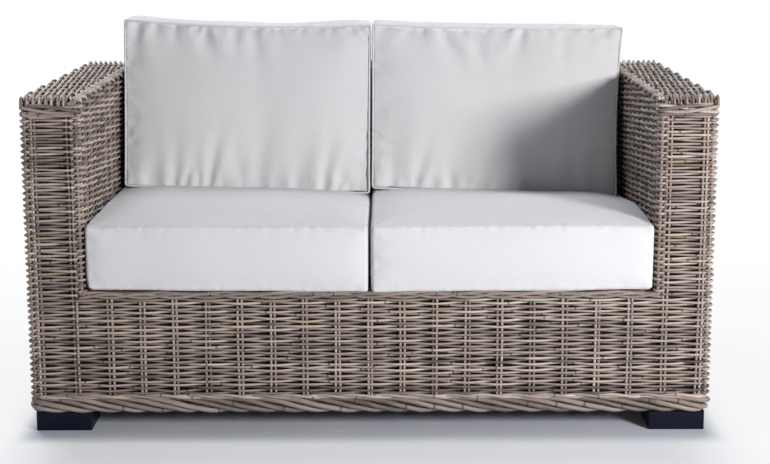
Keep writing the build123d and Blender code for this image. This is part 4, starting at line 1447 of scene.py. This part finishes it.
class LOVESEAT_OT_finish_frame(bpy.types.Operator):
    """Gives the timber, the slats, the feet and the fasteners their finishes"""
    bl_idname = "loveseat.finish_frame"
    bl_label = "Frame finishes"

    def execute(self, context):
        cane = cane_material()
        # The painted shade for the boards behind the cane.
        painted_shade_backing_material()
        canvas = canvas_material()
        dressed = {
            "frame_wood": timber_material("frame_wood_dressed", 1.0),
            "slat_wood": timber_material("slat_wood_dressed", 1.9),
            "black_block": block_material(),
            "zinc_steel": steel_material(),
            "canvas": canvas,
            "padding": canvas,
            "woven_cane": cane,
        }
        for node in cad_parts.values():
            for slot in node.material_slots:
                name = slot.material.name if slot.material else ""
                if name in dressed:
                    slot.material = dressed[name]
        return {"FINISHED"}


def area_lamp(name, place, target, size, power, colour):
    lamp = bpy.data.lights.new(name, "AREA")
    lamp.shape = "RECTANGLE"
    lamp.size, lamp.size_y = size
    lamp.energy = power
    lamp.color = colour
    holder = bpy.data.objects.new(name, lamp)
    holder.location = place
    holder.rotation_euler = (Vector(target) - Vector(place)).to_track_quat("-Z", "Y").to_euler()
    bpy.context.scene.collection.objects.link(holder)


class LOVESEAT_OT_stage(bpy.types.Operator):
    """Sets the pale floor, the lights and the camera"""
    bl_idname = "loveseat.stage"
    bl_label = "Stage"

    def execute(self, context):
        stage = context.scene.loveseat_stage
        paint = Paint("pale_floor")
        where = paint.where()
        scuffs = paint.noise(paint.stretch(where, (1.0, 3.0, 1.0)), 5.0, 5.0, 0.6)
        tint = paint.blend(paint.step(scuffs, 0.5, 0.75) * 0.5, tuple(finishes().floor), (0.86, 0.88, 0.92))
        ground = paint.node("ShaderNodeBsdfPrincipled", {}, {
            "Base Color": tint, "Roughness": 0.5 + scuffs * 0.3, "Specular IOR Level": 0.3}, "BSDF")
        x, y, _ = paint.parts(where)
        # The floor fades to plain white away from the loveseat and keeps its shadow below and in front.
        beside = paint.step(x * x, 0.60 ** 2, 0.86 ** 2) * 0.75
        behind = paint.step(y, 0.3, 1.6)
        past_ends = paint.step(x * x, 0.735 ** 2, 0.79 ** 2)
        past_front = paint.step(y * y, 0.47 ** 2, 0.55 ** 2)
        under = (1.0 - past_ends) * (1.0 - past_front)
        far = (1.0 - 0.58 * (1.0 - beside) * (1.0 - behind)) * (1.0 - under)
        white = paint.node("ShaderNodeEmission", {}, {"Color": (1.0, 1.0, 1.0), "Strength": 1.0})
        shown = paint.node("ShaderNodeMixShader", {}, {0: far * paint.seen_plainly(), 1: ground, 2: white})
        mesh = bpy.data.meshes.new("pale_floor")
        reach = 14.0
        mesh.from_pydata([(-reach, -reach, 0), (reach, -reach, 0), (reach, reach, 0), (-reach, reach, 0)], [],
                         [(0, 1, 2, 3)])
        new_object("pale_floor", mesh, paint.end(shown))

        sky = Paint("studio", True)
        soft = sky.node("ShaderNodeBackground", {}, {"Color": (0.88, 0.92, 1.0), "Strength": stage.sky})
        plain = sky.node("ShaderNodeBackground", {}, {"Color": (1.0, 1.0, 1.0), "Strength": 1.0})
        mixed = sky.node("ShaderNodeMixShader", {}, {0: sky.seen_plainly(), 1: soft, 2: plain})
        context.scene.world = sky.end(mixed)

        for name, place, target, size, power, colour in (
                ("key", (2.64, -3.32, 1.55), (0.1, 0.0, 0.45), (0.9, 0.9), stage.key_power, (1.0, 0.985, 0.965)),
                ("top", (0.0, 1.25, 2.9), (0.0, -0.2, 0.4), (3.2, 1.4), 56.0, (0.90, 0.95, 1.0)),
                ("front", (0.6, -2.4, 0.30), (0.15, -0.45, 0.32), (0.9, 0.5), 3.8, (1.0, 0.985, 0.97)),
                ("rear", (-2.5, 3.1, 2.2), (0.0, 0.3, 0.3), (1.8, 1.8), 60.0, (0.97, 0.98, 1.0))):
            area_lamp(name + "_lamp", place, target, size, power, colour)

        pitch, yaw, roll = stage.pitch, stage.yaw, stage.roll
        ahead = Vector((math.sin(yaw) * math.cos(pitch), math.cos(yaw) * math.cos(pitch), -math.sin(pitch)))
        right = Vector((math.cos(yaw), -math.sin(yaw), 0.0))
        down = ahead.cross(right)
        right, down = (math.cos(roll) * right + math.sin(roll) * down,
                       math.cos(roll) * down - math.sin(roll) * right)
        turn = Matrix((right, -down, -ahead)).transposed()
        camera = bpy.data.objects.new("camera", bpy.data.cameras.new("camera"))
        camera.data.sensor_fit = "HORIZONTAL"
        camera.data.sensor_width = 36.0
        camera.data.lens = stage.lens
        camera.matrix_world = Matrix.Translation(stage.eye) @ turn.to_4x4()
        context.scene.collection.objects.link(camera)
        context.scene.camera = camera
        context.scene.view_settings.view_transform = "Standard"
        return {"FINISHED"}


OPERATORS = (
    LOVESEAT_OT_finish_frame, LOVESEAT_OT_weave, LOVESEAT_OT_tops, LOVESEAT_OT_painted_shade_backing, LOVESEAT_OT_plaits,
    LOVESEAT_OT_borders, LOVESEAT_OT_seats, LOVESEAT_OT_backs, LOVESEAT_OT_stage)
SETTINGS = (("loveseat_cane", CaneSizes), ("loveseat_edges", EdgeSizes), ("loveseat_cushions", CushionSizes),
            ("loveseat_finishes", Finishes), ("loveseat_stage", StageSettings))


class LOVESEAT_PT_panel(bpy.types.Panel):
    """Lists the sizes and the steps"""
    bl_idname = "LOVESEAT_PT_panel"
    bl_label = "Patio Loveseat"
    bl_space_type = "VIEW_3D"
    bl_region_type = "UI"
    bl_category = "Loveseat"

    def draw(self, context):
        layout = self.layout
        for key, group in SETTINGS:
            box = layout.box()
            settings = getattr(context.scene, key)
            for name in group.__annotations__:
                box.prop(settings, name)
        for operator in OPERATORS:
            layout.operator(operator.bl_idname)


def register():
    for key, group in SETTINGS:
        bpy.utils.register_class(group)
        setattr(bpy.types.Scene, key, bpy.props.PointerProperty(type=group))
    for operator in OPERATORS:
        bpy.utils.register_class(operator)
    bpy.utils.register_class(LOVESEAT_PT_panel)


def unregister():
    bpy.utils.unregister_class(LOVESEAT_PT_panel)
    for operator in reversed(OPERATORS):
        bpy.utils.unregister_class(operator)
    for key, group in reversed(SETTINGS):
        delattr(bpy.types.Scene, key)
        bpy.utils.unregister_class(group)


def main():
    register()
    for operator in OPERATORS:
        group, name = operator.bl_idname.split(".")
        getattr(getattr(bpy.ops, group), name)()
    bpy.context.view_layer.update()


if __name__ == "__main__":
    main()
